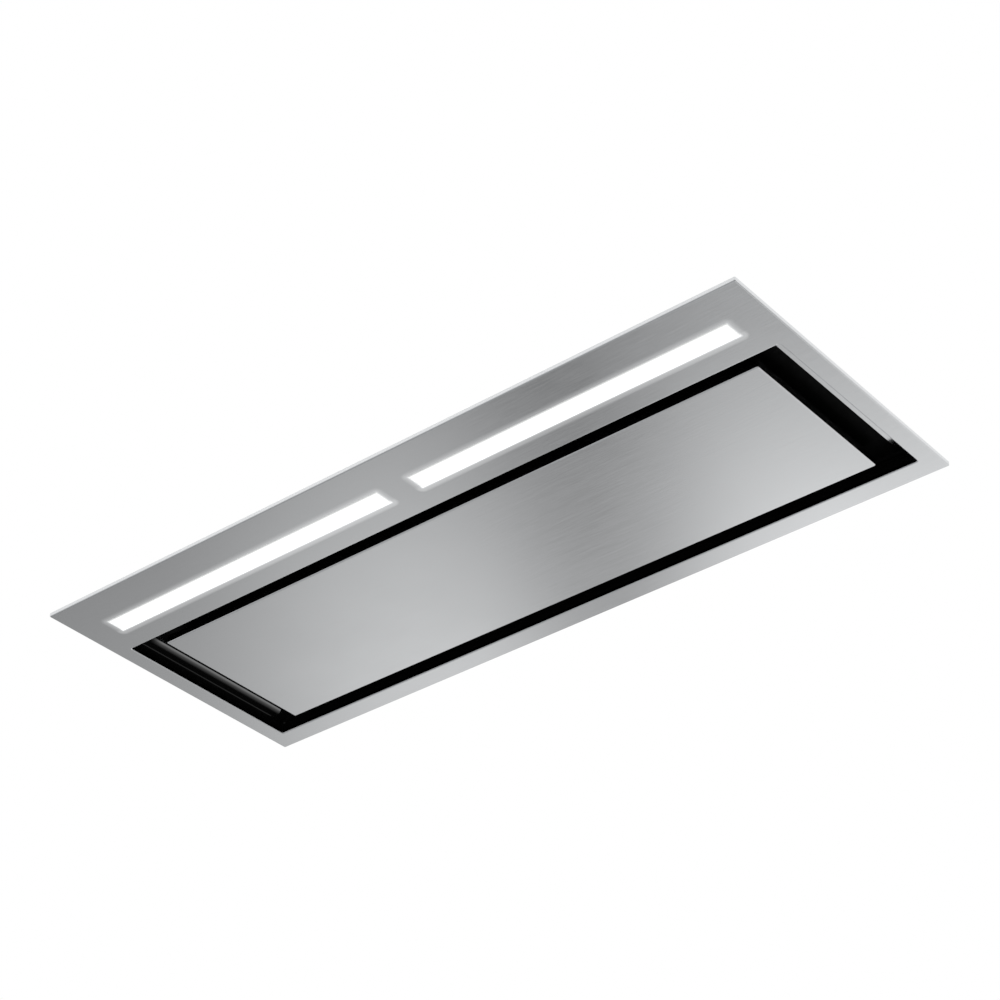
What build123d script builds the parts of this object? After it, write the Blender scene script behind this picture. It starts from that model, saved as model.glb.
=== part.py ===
from build123d import *
import math
import os

# Built-in range hood: a steel body that hides in a cabinet or ceiling cut-out. From below it
# shows a flush stainless frame with two lamp windows, and a hinged centre panel that hangs in
# a black recess, so that the air goes in through the gap round the panel.
# Millimetres, +Z up, +X along the hood, the lamps towards -Y. The origin is the centre of the
# visible underside.

os.makedirs("parts", exist_ok=True)

# Face frame, folded stainless sheet
frame_length = 860.0
frame_depth = 356.0
face_sheet = 1.0
edge_height = 6.6
corner_inside = 0.6
fold_inside = 0.3
rim_height = 4.0
end_overhang = 16.8
side_overhang = 15.8

# Lamp windows in the frame
lamp_margin = 43.8
lamp_end_margin = 40.2
lamp_gap = 40.0
window_width = 23.0
window_corner = 0.8
lamp_to_opening = 31.6

# Recess behind the opening, painted steel
recess_depth = 20.0
tray_sheet = 0.8
end_radius = 16.0
side_radius = 3.0
end_clearance = 0.4
tray_to_body = 7.0

# Hinged centre panel, stainless skin with a steel back
end_gap = 35.0
side_gap = 17.0
panel_inset = 1.6
panel_thickness = 9.0
panel_sheet = 1.0
back_sheet = 0.8
back_recess = 0.6
back_gap = 0.2
field_height = 0.4
field_margin = 48.0
field_spacing = 24.0

# Panel hinges
hinge_from_end = 95.0
pivot_from_edge = 4.4
pivot_lift = 3.4
pin_radius = 1.5
pin_clearance = 0.05
knuckle_radius = 3.0
ear_thickness = 3.0
lug_thickness = 2.0
lug_gap = 0.3
hinge_sheet = 0.8
bracket_sheet = 1.0
hinge_plate_length = 28.0
hinge_plate_depth = 21.0
hinge_plate_reach = 3.0

# Magnetic catches
catch_length = 16.0
catch_depth = 24.0
catch_from_edge = 22.6
catch_from_filter = 4.0
strike_sheet = 0.8
magnet_gap = 0.3

# Grease filters
filter_end_margin = 78.0
filter_near_margin = 43.6
filter_far_margin = 48.4
mullion = 16.0
filter_gap = 1.5
filter_height = 9.0
filter_rim = 10.0
groove_depth = 5.0
groove_wall = 1.0
mesh_clearance = 0.3
pleat_pitch = 10.0
pleat_wall = 1.0
tongue_width = 40.0
tongue_sheet = 1.5
tongue_overlap = 5.0

# Filter latches
latch_block_width = 60.0
latch_block_depth = 24.0
pocket_width = 42.0
pocket_wall = 3.0
pocket_height = 6.0
pocket_lip = 1.0
slider_gap = 0.3
slider_depth = 10.0
slider_height = 4.4
bolt_width = 14.0
bolt_thickness = 2.0
bolt_overlap = 3.0
grip_width = 30.0
grip_depth = 4.0
grip_drop = 5.0
spring_strip = 0.4
spring_height = 3.2
spring_gap = 0.2

# Lamp units
lamp_lip = 5.5
diffuser_gap = 0.2
diffuser_inset = 0.2
diffuser_sheet = 1.5
lamp_wall = 1.5
lamp_height = 21.0
fin_count = 5
fin_height = 4.0
fin_width = 1.2
board_sheet = 1.6
led_board_width = 14.0
led_pitch = 20.0
led_size = 3.5
led_height = 0.8

# Plenum, the steel body in the cut-out
plenum_height = 80.0
body_sheet = 1.0
flange_gap = 2.0
seal_gap = 0.3
partition_gap = 4.0
partition_fold = 12.0
body_gap = 0.2
suspension_inset = 28.0
suspension_hole = 3.5

# Blower
impeller_radius = 62.0
impeller_half = 50.0
blade_depth = 11.0
blade_count = 32
blade_sheet = 1.0
blade_turn = 65.0
blade_clearance = 0.05
disc_sheet = 2.0
hub_radius = 12.0
hub_reach = 12.0
shaft_radius = 4.0
shaft_clearance = 0.05
ring_sheet = 2.0
tongue_angle = 60
tongue_turn = 15
tongue_gap = 6.0
volute_growth = 28.0
volute_step = 30
scroll_wall = 2.0
scroll_floor = 2.4
scroll_side_gap = 5.0
neck_height = 19.2
neck_lip = 8.0
inlet_gap = 1.0
bell_wall = 2.0

# Motor and its bracket
motor_gap = 10.0
motor_hub_gap = 4.0
motor_length = 56.0
motor_fold = 4.0
motor_boss_radius = 14.0
motor_boss_height = 3.0
band_wall = 4.0
band_length = 7.0
arm_count = 3
arm_width = 12.0
arm_thickness = 3.0
arm_overlap = 9.0

# Motor housing on the plenum
housing_side = 15.0
housing_sheet = 0.9
housing_flange = 14.0
housing_fold = 3.0
opening_inset = 12.0

# Duct collar and its two non-return flaps
duct_radius = 75.0
collar_wall = 2.0
collar_height = 42.0
collar_flange = 15.0
collar_flange_height = 3.0
flap_axis_height = 10.0
flap_axis_spacing = 8.4
flap_sheet = 1.5
flap_gap = 0.6
barrel_radius = 2.2
stub_radius = 1.5
stub_length = 4.5
stub_clearance = 0.05
boss_length = 5.5
boss_half_width = 8.0
boss_roof = 3.5
barrel_end_gap = 0.5
seat_width = 3.5
seat_thickness = 2.0
seat_gap = 0.3
bar_gap = 0.3

# Junction box on the plenum and what it holds
junction_margin = 22.0
junction_length = 120.3
junction_width = 120.0
junction_height = 44.0
junction_wall = 2.0
lid_sheet = 2.0
lid_lip = 3.0
lid_clearance = 0.3
post_radius = 3.5
board_margin = 8.0
standoff_height = 5.0
standoff_radius = 2.5
relay_size = 15.0
relay_height = 13.0
terminal_length = 48.0
terminal_wall = 1.2
terminal_width = 14.0
terminal_height = 16.0
terminal_ways = 6
capacitor_radius = 12.5
capacitor_length = 52.0
gland_radius = 9.0
gland_bore = 4.5
gland_reach = 14.0
gland_height = 22.0
nut_radius = 12.0
nut_thickness = 5.0

# LED driver
driver_length = 140.0
driver_width = 36.0
driver_height = 22.0
driver_from_end = 90.0
driver_lug = 8.0
driver_sheet = 2.0

# Wiring and grommets
cable_radius = 2.6
cable_bend = 12.0
motor_cable_bend = 30.0
cable_entry = 5.0
feed_height = 14.0
lamp_cable_run = 28.0
grommet_radius = 7.0
grommet_flange = 1.5
grommet_lip = 2.5

# Clamp brackets for the cabinet's cut-out
board_thickness = 18.4
bracket_inset = 62.2
clamp_sheet = 2.0
clamp_width = 30.0
clamp_height = 38.0
clamp_edge_gap = 2.0
clamp_slot_length = 20.0
screw_radius = 2.5
head_radius = 4.6
head_height = 2.8
screw_length = 10.0

# Small screws
small_screw_radius = 1.75
small_head_radius = 3.4
small_head_height = 2.2
small_screw_length = 6.0

# The body stands inside the frame's edge, and the opening follows the body and its sheets
plenum_length = frame_length - 2 * end_overhang
plenum_depth = frame_depth - 2 * side_overhang
plenum_end = plenum_length / 2
plenum_side = plenum_depth / 2
tray_end = plenum_end - body_sheet - end_clearance
opening_end = tray_end - tray_sheet - face_sheet
opening_length = 2 * opening_end
far_edge = plenum_side - body_sheet - tray_to_body - tray_sheet - face_sheet
near_edge = lamp_margin + window_width + lamp_to_opening - frame_depth / 2
opening_depth = far_edge - near_edge
opening_y = (far_edge + near_edge) / 2
opening_corner = side_radius - face_sheet
tray_inside_length = opening_length + 2 * face_sheet
tray_inside_depth = opening_depth + 2 * face_sheet
window_length = (frame_length - lamp_gap) / 2 - lamp_end_margin
window_x = (window_length + lamp_gap) / 2
window_y = lamp_margin + window_width / 2 - frame_depth / 2
fold_radius = fold_inside + face_sheet
flange_top = face_sheet + body_sheet
flange_length = frame_length - 2 * (face_sheet + flange_gap)
flange_depth = frame_depth - 2 * (face_sheet + flange_gap)
ledge_top = recess_depth + tray_sheet

# Face frame: one stainless sheet with its outer edges and the rim of the opening folded up
with BuildPart() as face_frame:
    with BuildSketch(Plane.XY):
        RectangleRounded(frame_length, frame_depth, corner_inside + face_sheet)
        with Locations((0, opening_y)):
            RectangleRounded(opening_length, opening_depth, opening_corner, mode=Mode.SUBTRACT)
        with Locations((-window_x, window_y), (window_x, window_y)):
            RectangleRounded(window_length, window_width, window_corner, mode=Mode.SUBTRACT)
    extrude(amount=face_sheet)
    with BuildSketch(Plane.XY.offset(face_sheet)):
        RectangleRounded(frame_length, frame_depth, corner_inside + face_sheet)
        RectangleRounded(
            frame_length - 2 * face_sheet, frame_depth - 2 * face_sheet, corner_inside, mode=Mode.SUBTRACT
        )
    extrude(amount=edge_height - face_sheet)
    with BuildSketch(Plane.XY.offset(face_sheet)):
        with Locations((0, opening_y)):
            RectangleRounded(tray_inside_length, tray_inside_depth, side_radius)
            RectangleRounded(opening_length, opening_depth, opening_corner, mode=Mode.SUBTRACT)
    extrude(amount=rim_height - face_sheet)
    underside = face_frame.faces().sort_by(Axis.Z)[0]
    opening_wire = underside.inner_wires().sort_by(SortBy.LENGTH)[-1]
    fillet(underside.outer_wire().edges() + opening_wire.edges(), radius=fold_radius)
face_frame.part.label = "face_frame"
export_step(face_frame.part, "parts/face_frame.step")

# Foam seal that the cabinet's underside presses on, glued to the body's flange
with BuildPart() as frame_seal:
    with BuildSketch(Plane.XY.offset(flange_top)):
        Rectangle(flange_length, flange_depth)
        Rectangle(plenum_length + 2 * seal_gap, plenum_depth + 2 * seal_gap, mode=Mode.SUBTRACT)
    extrude(amount=edge_height - flange_top)
frame_seal.part.label = "frame_seal"
export_step(frame_seal.part, "parts/frame_seal.step")

# Collector tray: drawn steel with deep radii at its two ends and an aperture for each filter
aperture_end = opening_end - filter_end_margin
aperture_length = aperture_end - mullion / 2
aperture_x = (aperture_end + mullion / 2) / 2
aperture_near = near_edge + filter_near_margin
aperture_far = far_edge - filter_far_margin
aperture_depth = aperture_far - aperture_near
aperture_y = (aperture_near + aperture_far) / 2
with BuildPart() as collector_tray:
    with BuildSketch(Plane.XY.offset(face_sheet)):
        with Locations((0, opening_y)):
            Rectangle(tray_inside_length, tray_inside_depth)
    extrude(amount=recess_depth - face_sheet)
    ledge = collector_tray.faces().sort_by(Axis.Z)[-1]
    fillet(ledge.edges().filter_by(Axis.Y), radius=end_radius)
    ledge = collector_tray.faces().sort_by(Axis.Z)[-1]
    fillet(ledge.edges().filter_by(Axis.X), radius=side_radius)
    offset(amount=tray_sheet, openings=collector_tray.faces().sort_by(Axis.Z)[0])
    with BuildSketch(Plane.XY.offset(recess_depth)):
        with Locations((-aperture_x, aperture_y), (aperture_x, aperture_y)):
            Rectangle(aperture_length, aperture_depth)
    extrude(amount=tray_sheet, mode=Mode.SUBTRACT)
collector_tray.part.label = "collector_tray"
export_step(collector_tray.part, "parts/collector_tray.step")

# Panel skin: a shallow stainless tray, open at its back
panel_length = opening_length - 2 * end_gap
panel_depth = opening_depth - 2 * side_gap
panel_near = near_edge + side_gap
panel_far = far_edge - side_gap
panel_top = panel_inset + panel_thickness
with BuildPart() as panel_skin:
    with BuildSketch(Plane.XY.offset(panel_inset)):
        with Locations((0, opening_y)):
            RectangleRounded(panel_length, panel_depth, corner_inside + panel_sheet)
    extrude(amount=panel_thickness)
    fillet(panel_skin.faces().sort_by(Axis.Z)[0].edges(), radius=fold_inside + panel_sheet)
    offset(amount=-panel_sheet, openings=panel_skin.faces().sort_by(Axis.Z)[-1])
panel_skin.part.label = "panel_skin"
export_step(panel_skin.part, "parts/panel_skin.step")

# Panel back: steel sheet let into the skin, with two pressed fields that stiffen it
back_top = panel_top - back_recess
back_length = panel_length - 2 * (panel_sheet + back_gap)
back_depth = panel_depth - 2 * (panel_sheet + back_gap)
field_length = (back_length - field_spacing) / 2 - field_margin
field_x = (field_length + field_spacing) / 2
field_depth = back_depth - 2 * field_margin
with BuildPart() as panel_back:
    with BuildSketch(Plane.XY.offset(back_top - back_sheet)):
        with Locations((0, opening_y)):
            RectangleRounded(back_length, back_depth, corner_inside)
    extrude(amount=back_sheet)
    with BuildSketch(Plane.XY.offset(back_top)):
        with Locations((-field_x, opening_y), (field_x, opening_y)):
            RectangleRounded(field_length, field_depth, side_radius)
    extrude(amount=field_height)
panel_back.part.label = "panel_back"
export_step(panel_back.part, "parts/panel_back.step")

# Panel hinges: a clevis on the panel's back, an ear under the ledge and a pin through both
pivot_y = panel_far - pivot_from_edge
pivot_z = panel_top + pivot_lift
hinge_x = panel_length / 2 - hinge_from_end
lug_inner = ear_thickness / 2 + lug_gap
hinge_plate_far = pivot_y + hinge_plate_reach
hinge_plate_y = hinge_plate_far - hinge_plate_depth / 2
for side, place in ((-1, "left"), (1, "right")):
    with BuildPart() as hinge_clevis:
        with BuildSketch(Plane.XY.offset(back_top)):
            with Locations((side * hinge_x, hinge_plate_y)):
                Rectangle(hinge_plate_length, hinge_plate_depth)
        extrude(amount=hinge_sheet)
        for lug in (-1, 1):
            lug_start = side * hinge_x + lug * (lug_inner + lug_thickness / 2) - lug_thickness / 2
            with BuildSketch(Plane.YZ.offset(lug_start)):
                with Locations((pivot_y, pivot_z)):
                    Circle(knuckle_radius)
                with BuildLine():
                    Polyline(
                        (pivot_y - knuckle_radius, pivot_z),
                        (pivot_y - 3 * knuckle_radius, back_top + hinge_sheet),
                        (pivot_y + knuckle_radius, back_top + hinge_sheet),
                        (pivot_y + knuckle_radius, pivot_z),
                        close=True,
                    )
                make_face()
                with Locations((pivot_y, pivot_z)):
                    Circle(pin_radius, mode=Mode.SUBTRACT)
            extrude(amount=lug_thickness)
    hinge_clevis.part.label = f"hinge_clevis_{place}"
    export_step(hinge_clevis.part, f"parts/hinge_clevis_{place}.step")

    with BuildPart() as hinge_bracket:
        with BuildSketch(Plane.XY.offset(recess_depth - bracket_sheet)):
            with Locations((side * hinge_x, hinge_plate_y)):
                Rectangle(hinge_plate_length, hinge_plate_depth)
        extrude(amount=bracket_sheet)
        with BuildSketch(Plane.YZ.offset(side * hinge_x - ear_thickness / 2)):
            with Locations((pivot_y, pivot_z)):
                Circle(knuckle_radius)
            with BuildLine():
                Polyline(
                    (pivot_y - knuckle_radius, pivot_z),
                    (pivot_y - 2 * knuckle_radius, recess_depth - bracket_sheet),
                    (pivot_y + knuckle_radius, recess_depth - bracket_sheet),
                    (pivot_y + knuckle_radius, pivot_z),
                    close=True,
                )
            make_face()
            with Locations((pivot_y, pivot_z)):
                Circle(pin_radius + pin_clearance, mode=Mode.SUBTRACT)
        extrude(amount=ear_thickness)
    hinge_bracket.part.label = f"hinge_bracket_{place}"
    export_step(hinge_bracket.part, f"parts/hinge_bracket_{place}.step")

    pin_half = lug_inner + lug_thickness + pin_radius
    with BuildPart() as hinge_pin:
        with BuildSketch(Plane.YZ.offset(side * hinge_x - pin_half)):
            with Locations((pivot_y, pivot_z)):
                Circle(pin_radius)
        extrude(amount=2 * pin_half)
        chamfer(hinge_pin.edges().filter_by(GeomType.CIRCLE), length=pin_radius / 4)
    hinge_pin.part.label = f"hinge_pin_{place}"
    export_step(hinge_pin.part, f"parts/hinge_pin_{place}.step")

# Magnetic catches under the ledge, and the steel strike plates they hold on the panel's back
catch_x = aperture_end + catch_from_filter + catch_length / 2
catch_y = panel_near + catch_from_edge + catch_depth / 2
strike_top = back_top + strike_sheet
for side, place in ((-1, "left"), (1, "right")):
    with BuildPart() as magnet_catch:
        with BuildSketch(Plane.XY.offset(strike_top + magnet_gap)):
            with Locations((side * catch_x, catch_y)):
                RectangleRounded(catch_length, catch_depth, side_radius)
        extrude(amount=recess_depth - strike_top - magnet_gap)
        chamfer(magnet_catch.faces().sort_by(Axis.Z)[0].edges(), length=bracket_sheet)
    magnet_catch.part.label = f"magnet_catch_{place}"
    export_step(magnet_catch.part, f"parts/magnet_catch_{place}.step")

with BuildPart() as strike_plates:
    with BuildSketch(Plane.XY.offset(back_top)):
        with Locations((-catch_x, catch_y), (catch_x, catch_y)):
            RectangleRounded(catch_length, catch_depth, side_radius)
    extrude(amount=strike_sheet)
strike_plates.part.label = "strike_plates"
export_step(strike_plates.part, "parts/strike_plates.step")

# Grease filters: an aluminium rim whose inner groove holds a pleated mesh pack. Two tongues
# rest on the ledge at the far side, and a sprung bolt reaches over it at the near side.
filter_length = aperture_length - 2 * filter_gap
filter_depth = aperture_depth - 2 * filter_gap
filter_near = aperture_near + filter_gap
filter_far = aperture_far - filter_gap
filter_top = recess_depth + filter_height
groove_floor = recess_depth + groove_wall
groove_roof = filter_top - groove_wall
mesh_inset = filter_rim - groove_depth + mesh_clearance
pocket_near = filter_near + pocket_wall
pocket_far = filter_near + latch_block_depth - pocket_wall
pocket_y = (pocket_near + pocket_far) / 2
slider_floor = recess_depth + pocket_lip + slider_gap
slider_near = pocket_near + slider_gap
slider_far = slider_near + slider_depth
slider_y = (slider_near + slider_far) / 2
bolt_floor = ledge_top + slider_gap
bolt_reach = filter_gap + bolt_overlap + pocket_wall + slider_gap
mesh_length = filter_length - 2 * mesh_inset
mesh_depth = filter_depth - 2 * mesh_inset
mesh_floor = groove_floor + mesh_clearance
mesh_rise = groove_roof - groove_floor - 2 * mesh_clearance - pleat_wall
pleat_steps = 2 * round(mesh_length / pleat_pitch)
block_y = filter_near + latch_block_depth / 2
for side, place in ((-1, "left"), (1, "right")):
    filter_x = side * aperture_x
    with BuildPart() as filter_frame:
        with BuildSketch(Plane.XY.offset(recess_depth)):
            with Locations((filter_x, aperture_y)):
                Rectangle(filter_length, filter_depth)
                Rectangle(filter_length - 2 * filter_rim, filter_depth - 2 * filter_rim, mode=Mode.SUBTRACT)
            with Locations((filter_x, block_y)):
                Rectangle(latch_block_width, latch_block_depth)
        extrude(amount=filter_height)
        with BuildSketch(Plane.XY.offset(groove_floor)):
            with Locations((filter_x, aperture_y)):
                Rectangle(
                    filter_length - 2 * (filter_rim - groove_depth),
                    filter_depth - 2 * (filter_rim - groove_depth),
                )
            with Locations((filter_x, block_y)):
                Rectangle(latch_block_width, latch_block_depth, mode=Mode.SUBTRACT)
        extrude(amount=groove_roof - groove_floor, mode=Mode.SUBTRACT)
        with BuildSketch(Plane.XY.offset(recess_depth + pocket_lip)):
            with Locations((filter_x, pocket_y)):
                Rectangle(pocket_width, pocket_far - pocket_near)
        extrude(amount=pocket_height - pocket_lip, mode=Mode.SUBTRACT)
        with BuildSketch(Plane.XY.offset(recess_depth)):
            with Locations((filter_x, pocket_y)):
                Rectangle(grip_width + 4 * slider_gap, pocket_far - pocket_near)
        extrude(amount=pocket_lip, mode=Mode.SUBTRACT)
        with BuildSketch(Plane.XY.offset(ledge_top)):
            with Locations((filter_x, filter_near + pocket_wall / 2)):
                Rectangle(bolt_width + 4 * slider_gap, pocket_wall)
        extrude(amount=bolt_thickness + 2 * slider_gap, mode=Mode.SUBTRACT)
        tongue_length = filter_gap + tongue_overlap
        with BuildSketch(Plane.XY.offset(ledge_top)):
            with Locations((filter_x, filter_far + tongue_length / 2)):
                with GridLocations(filter_length / 2, 0, 2, 1):
                    Rectangle(tongue_width, tongue_length)
        extrude(amount=tongue_sheet)
    filter_frame.part.label = f"filter_frame_{place}"
    export_step(filter_frame.part, f"parts/filter_frame_{place}.step")

    with BuildPart() as filter_mesh:
        with BuildSketch(Plane.XZ.offset(-(aperture_y + mesh_depth / 2))):
            lower = []
            for step in range(pleat_steps + 1):
                along = filter_x + mesh_length * (step / pleat_steps - 0.5)
                lower.append((along, mesh_floor + mesh_rise * (step % 2)))
            upper = [(x, z + pleat_wall) for x, z in reversed(lower)]
            with BuildLine():
                Polyline(*lower, *upper, close=True)
            make_face()
        extrude(amount=mesh_depth)
        with BuildSketch(Plane.XY.offset(recess_depth)):
            with Locations((filter_x, block_y)):
                Rectangle(latch_block_width + 2 * mesh_clearance, latch_block_depth + 2 * mesh_clearance)
        extrude(amount=filter_height, mode=Mode.SUBTRACT)
    filter_mesh.part.label = f"filter_mesh_{place}"
    export_step(filter_mesh.part, f"parts/filter_mesh_{place}.step")

    with BuildPart() as filter_latch:
        with BuildSketch(Plane.XY.offset(slider_floor)):
            with Locations((filter_x, slider_y)):
                Rectangle(pocket_width - 2 * slider_gap, slider_depth)
        extrude(amount=slider_height)
        with BuildSketch(Plane.XY.offset(bolt_floor)):
            with Locations((filter_x, slider_near - bolt_reach / 2)):
                Rectangle(bolt_width, bolt_reach)
        extrude(amount=bolt_thickness)
        with BuildSketch(Plane.XY.offset(recess_depth - grip_drop)):
            with Locations((filter_x, slider_near + grip_depth / 2 + slider_gap)):
                RectangleRounded(grip_width, grip_depth, grip_depth / 4)
        extrude(amount=grip_drop + pocket_lip + slider_gap)
    filter_latch.part.label = f"filter_latch_{place}"
    export_step(filter_latch.part, f"parts/filter_latch_{place}.step")

    spring_half = pocket_width / 2 - pocket_wall
    spring_near = slider_far + spring_gap
    spring_far = pocket_far - spring_gap
    spring_tip = spring_far - spring_strip
    with BuildPart() as latch_spring:
        with BuildSketch(Plane.XY.offset(slider_floor + spring_gap)):
            with BuildLine():
                ThreePointArc(
                    (filter_x - spring_half, spring_tip),
                    (filter_x, spring_near),
                    (filter_x + spring_half, spring_tip),
                )
                Line((filter_x + spring_half, spring_tip), (filter_x + spring_half, spring_far))
                ThreePointArc(
                    (filter_x + spring_half, spring_far),
                    (filter_x, spring_near + spring_strip),
                    (filter_x - spring_half, spring_far),
                )
                Line((filter_x - spring_half, spring_far), (filter_x - spring_half, spring_tip))
            make_face()
        extrude(amount=spring_height)
    latch_spring.part.label = f"latch_spring_{place}"
    export_step(latch_spring.part, f"parts/latch_spring_{place}.step")

# Lamp units: an opal diffuser in the frame's window, an aluminium housing and an LED board
housing_length = window_length + 2 * lamp_lip
housing_width = window_width + 2 * lamp_lip
lamp_top = face_sheet + lamp_height
led_count = int((window_length - led_pitch) / led_pitch)
for side, place in ((-1, "left"), (1, "right")):
    lamp_x = side * window_x
    with BuildPart() as lamp_diffuser:
        with BuildSketch(Plane.XY.offset(diffuser_inset)):
            with Locations((lamp_x, window_y)):
                RectangleRounded(
                    window_length - 2 * diffuser_gap, window_width - 2 * diffuser_gap, window_corner
                )
        extrude(amount=face_sheet - diffuser_inset)
        with BuildSketch(Plane.XY.offset(face_sheet)):
            with Locations((lamp_x, window_y)):
                Rectangle(
                    housing_length - 2 * (lamp_wall + diffuser_gap),
                    housing_width - 2 * (lamp_wall + diffuser_gap),
                )
        extrude(amount=diffuser_sheet)
    lamp_diffuser.part.label = f"lamp_diffuser_{place}"
    export_step(lamp_diffuser.part, f"parts/lamp_diffuser_{place}.step")

    with BuildPart() as lamp_housing:
        with BuildSketch(Plane.XY.offset(face_sheet)):
            with Locations((lamp_x, window_y)):
                Rectangle(housing_length, housing_width)
        extrude(amount=lamp_height)
        with BuildSketch(Plane.XY.offset(face_sheet)):
            with Locations((lamp_x, window_y)):
                Rectangle(housing_length - 2 * lamp_wall, housing_width - 2 * lamp_wall)
        extrude(amount=lamp_height - lamp_wall, mode=Mode.SUBTRACT)
        with BuildSketch(Plane.XY.offset(lamp_top)):
            with Locations((lamp_x, window_y)):
                with GridLocations(0, (housing_width - fin_width) / (fin_count - 1), 1, fin_count):
                    Rectangle(housing_length, fin_width)
        extrude(amount=fin_height)
    lamp_housing.part.label = f"lamp_housing_{place}"
    export_step(lamp_housing.part, f"parts/lamp_housing_{place}.step")

    led_face = lamp_top - lamp_wall - board_sheet
    with BuildPart() as led_board:
        with BuildSketch(Plane.XY.offset(led_face)):
            with Locations((lamp_x, window_y)):
                Rectangle(window_length, led_board_width)
        extrude(amount=board_sheet)
        with BuildSketch(Plane.XY.offset(led_face - led_height)):
            with Locations((lamp_x, window_y)):
                with GridLocations(led_pitch, 0, led_count, 1):
                    Rectangle(led_size, led_size)
        extrude(amount=led_height)
    led_board.part.label = f"led_board_{place}"
    export_step(led_board.part, f"parts/led_board_{place}.step")

# Blower layout: the fan's axis lies along X. The scroll winds out from the tongue, over the
# top, round the back and the bottom, and its neck rises at the front of the air stream.
def volute_radius(angle):
    turned = (angle - tongue_angle) / (360 - tongue_angle)
    return impeller_radius + tongue_gap + volute_growth * turned


outlet_radius = volute_radius(360)
fan_y = -outlet_radius / 2
fan_z = plenum_height + scroll_floor + volute_radius(270) + scroll_wall
neck_top = fan_z + volute_radius(90) + scroll_wall + neck_height
housing_top = neck_top + housing_sheet
housing_half_length = plenum_end - 2 * junction_margin - junction_length - housing_flange
housing_half_depth = housing_side + housing_sheet + volute_radius(180) + scroll_wall - fan_y

# Plenum: folded steel box, open below, with a flange that is spot-welded to the face frame
fan_opening_length = 2 * (housing_half_length - opening_inset)
fan_opening_depth = 2 * (housing_half_depth - opening_inset)
clamp_top = edge_height + board_thickness
bracket_spacing = plenum_depth - 2 * bracket_inset
screw_z = clamp_top + clamp_height / 2 + clamp_sheet
suspension_x = plenum_end - suspension_inset
suspension_y = plenum_side - suspension_inset
partition_y = near_edge - face_sheet - tray_sheet - partition_gap
driver_x = -(plenum_end - driver_from_end - driver_length / 2)
driver_y = (partition_y - partition_fold - plenum_side) / 2
feed_x = driver_x - driver_length / 2 - 2 * cable_bend
with BuildPart() as plenum_shell:
    with BuildSketch(Plane.XY.offset(face_sheet)):
        Rectangle(plenum_length, plenum_depth)
    extrude(amount=plenum_height - face_sheet)
    with BuildSketch(Plane.XY.offset(face_sheet)):
        Rectangle(flange_length, flange_depth)
    extrude(amount=body_sheet)
    with BuildSketch(Plane.XY.offset(face_sheet)):
        Rectangle(plenum_length - 2 * body_sheet, plenum_depth - 2 * body_sheet)
    extrude(amount=plenum_height - face_sheet - body_sheet, mode=Mode.SUBTRACT)
    with BuildSketch(Plane.XY.offset(plenum_height - body_sheet)):
        Rectangle(fan_opening_length, fan_opening_depth)
        with GridLocations(2 * suspension_x, 2 * suspension_y, 2, 2):
            Circle(suspension_hole)
        with Locations((feed_x, driver_y)):
            Circle(grommet_radius)
    extrude(amount=body_sheet, mode=Mode.SUBTRACT)
    with BuildSketch(Plane.YZ.offset(-plenum_end)):
        with Locations((0, screw_z)):
            with GridLocations(bracket_spacing, 0, 2, 1):
                Circle(screw_radius)
    extrude(amount=plenum_length, mode=Mode.SUBTRACT)
plenum_shell.part.label = "plenum_shell"
export_step(plenum_shell.part, "parts/plenum_shell.step")

# Wall between the lamps and the air path, folded at its top
partition_length = plenum_length - 2 * (body_sheet + body_gap)
ceiling = plenum_height - body_sheet
with BuildPart() as lamp_partition:
    with BuildSketch(Plane.YZ.offset(-partition_length / 2)):
        with BuildLine():
            Polyline(
                (partition_y, face_sheet),
                (partition_y, ceiling),
                (partition_y - partition_fold, ceiling),
                (partition_y - partition_fold, ceiling - body_sheet),
                (partition_y - body_sheet, ceiling - body_sheet),
                (partition_y - body_sheet, face_sheet),
                close=True,
            )
        make_face()
    extrude(amount=partition_length)
lamp_partition.part.label = "lamp_partition"
export_step(lamp_partition.part, "parts/lamp_partition.step")

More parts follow.
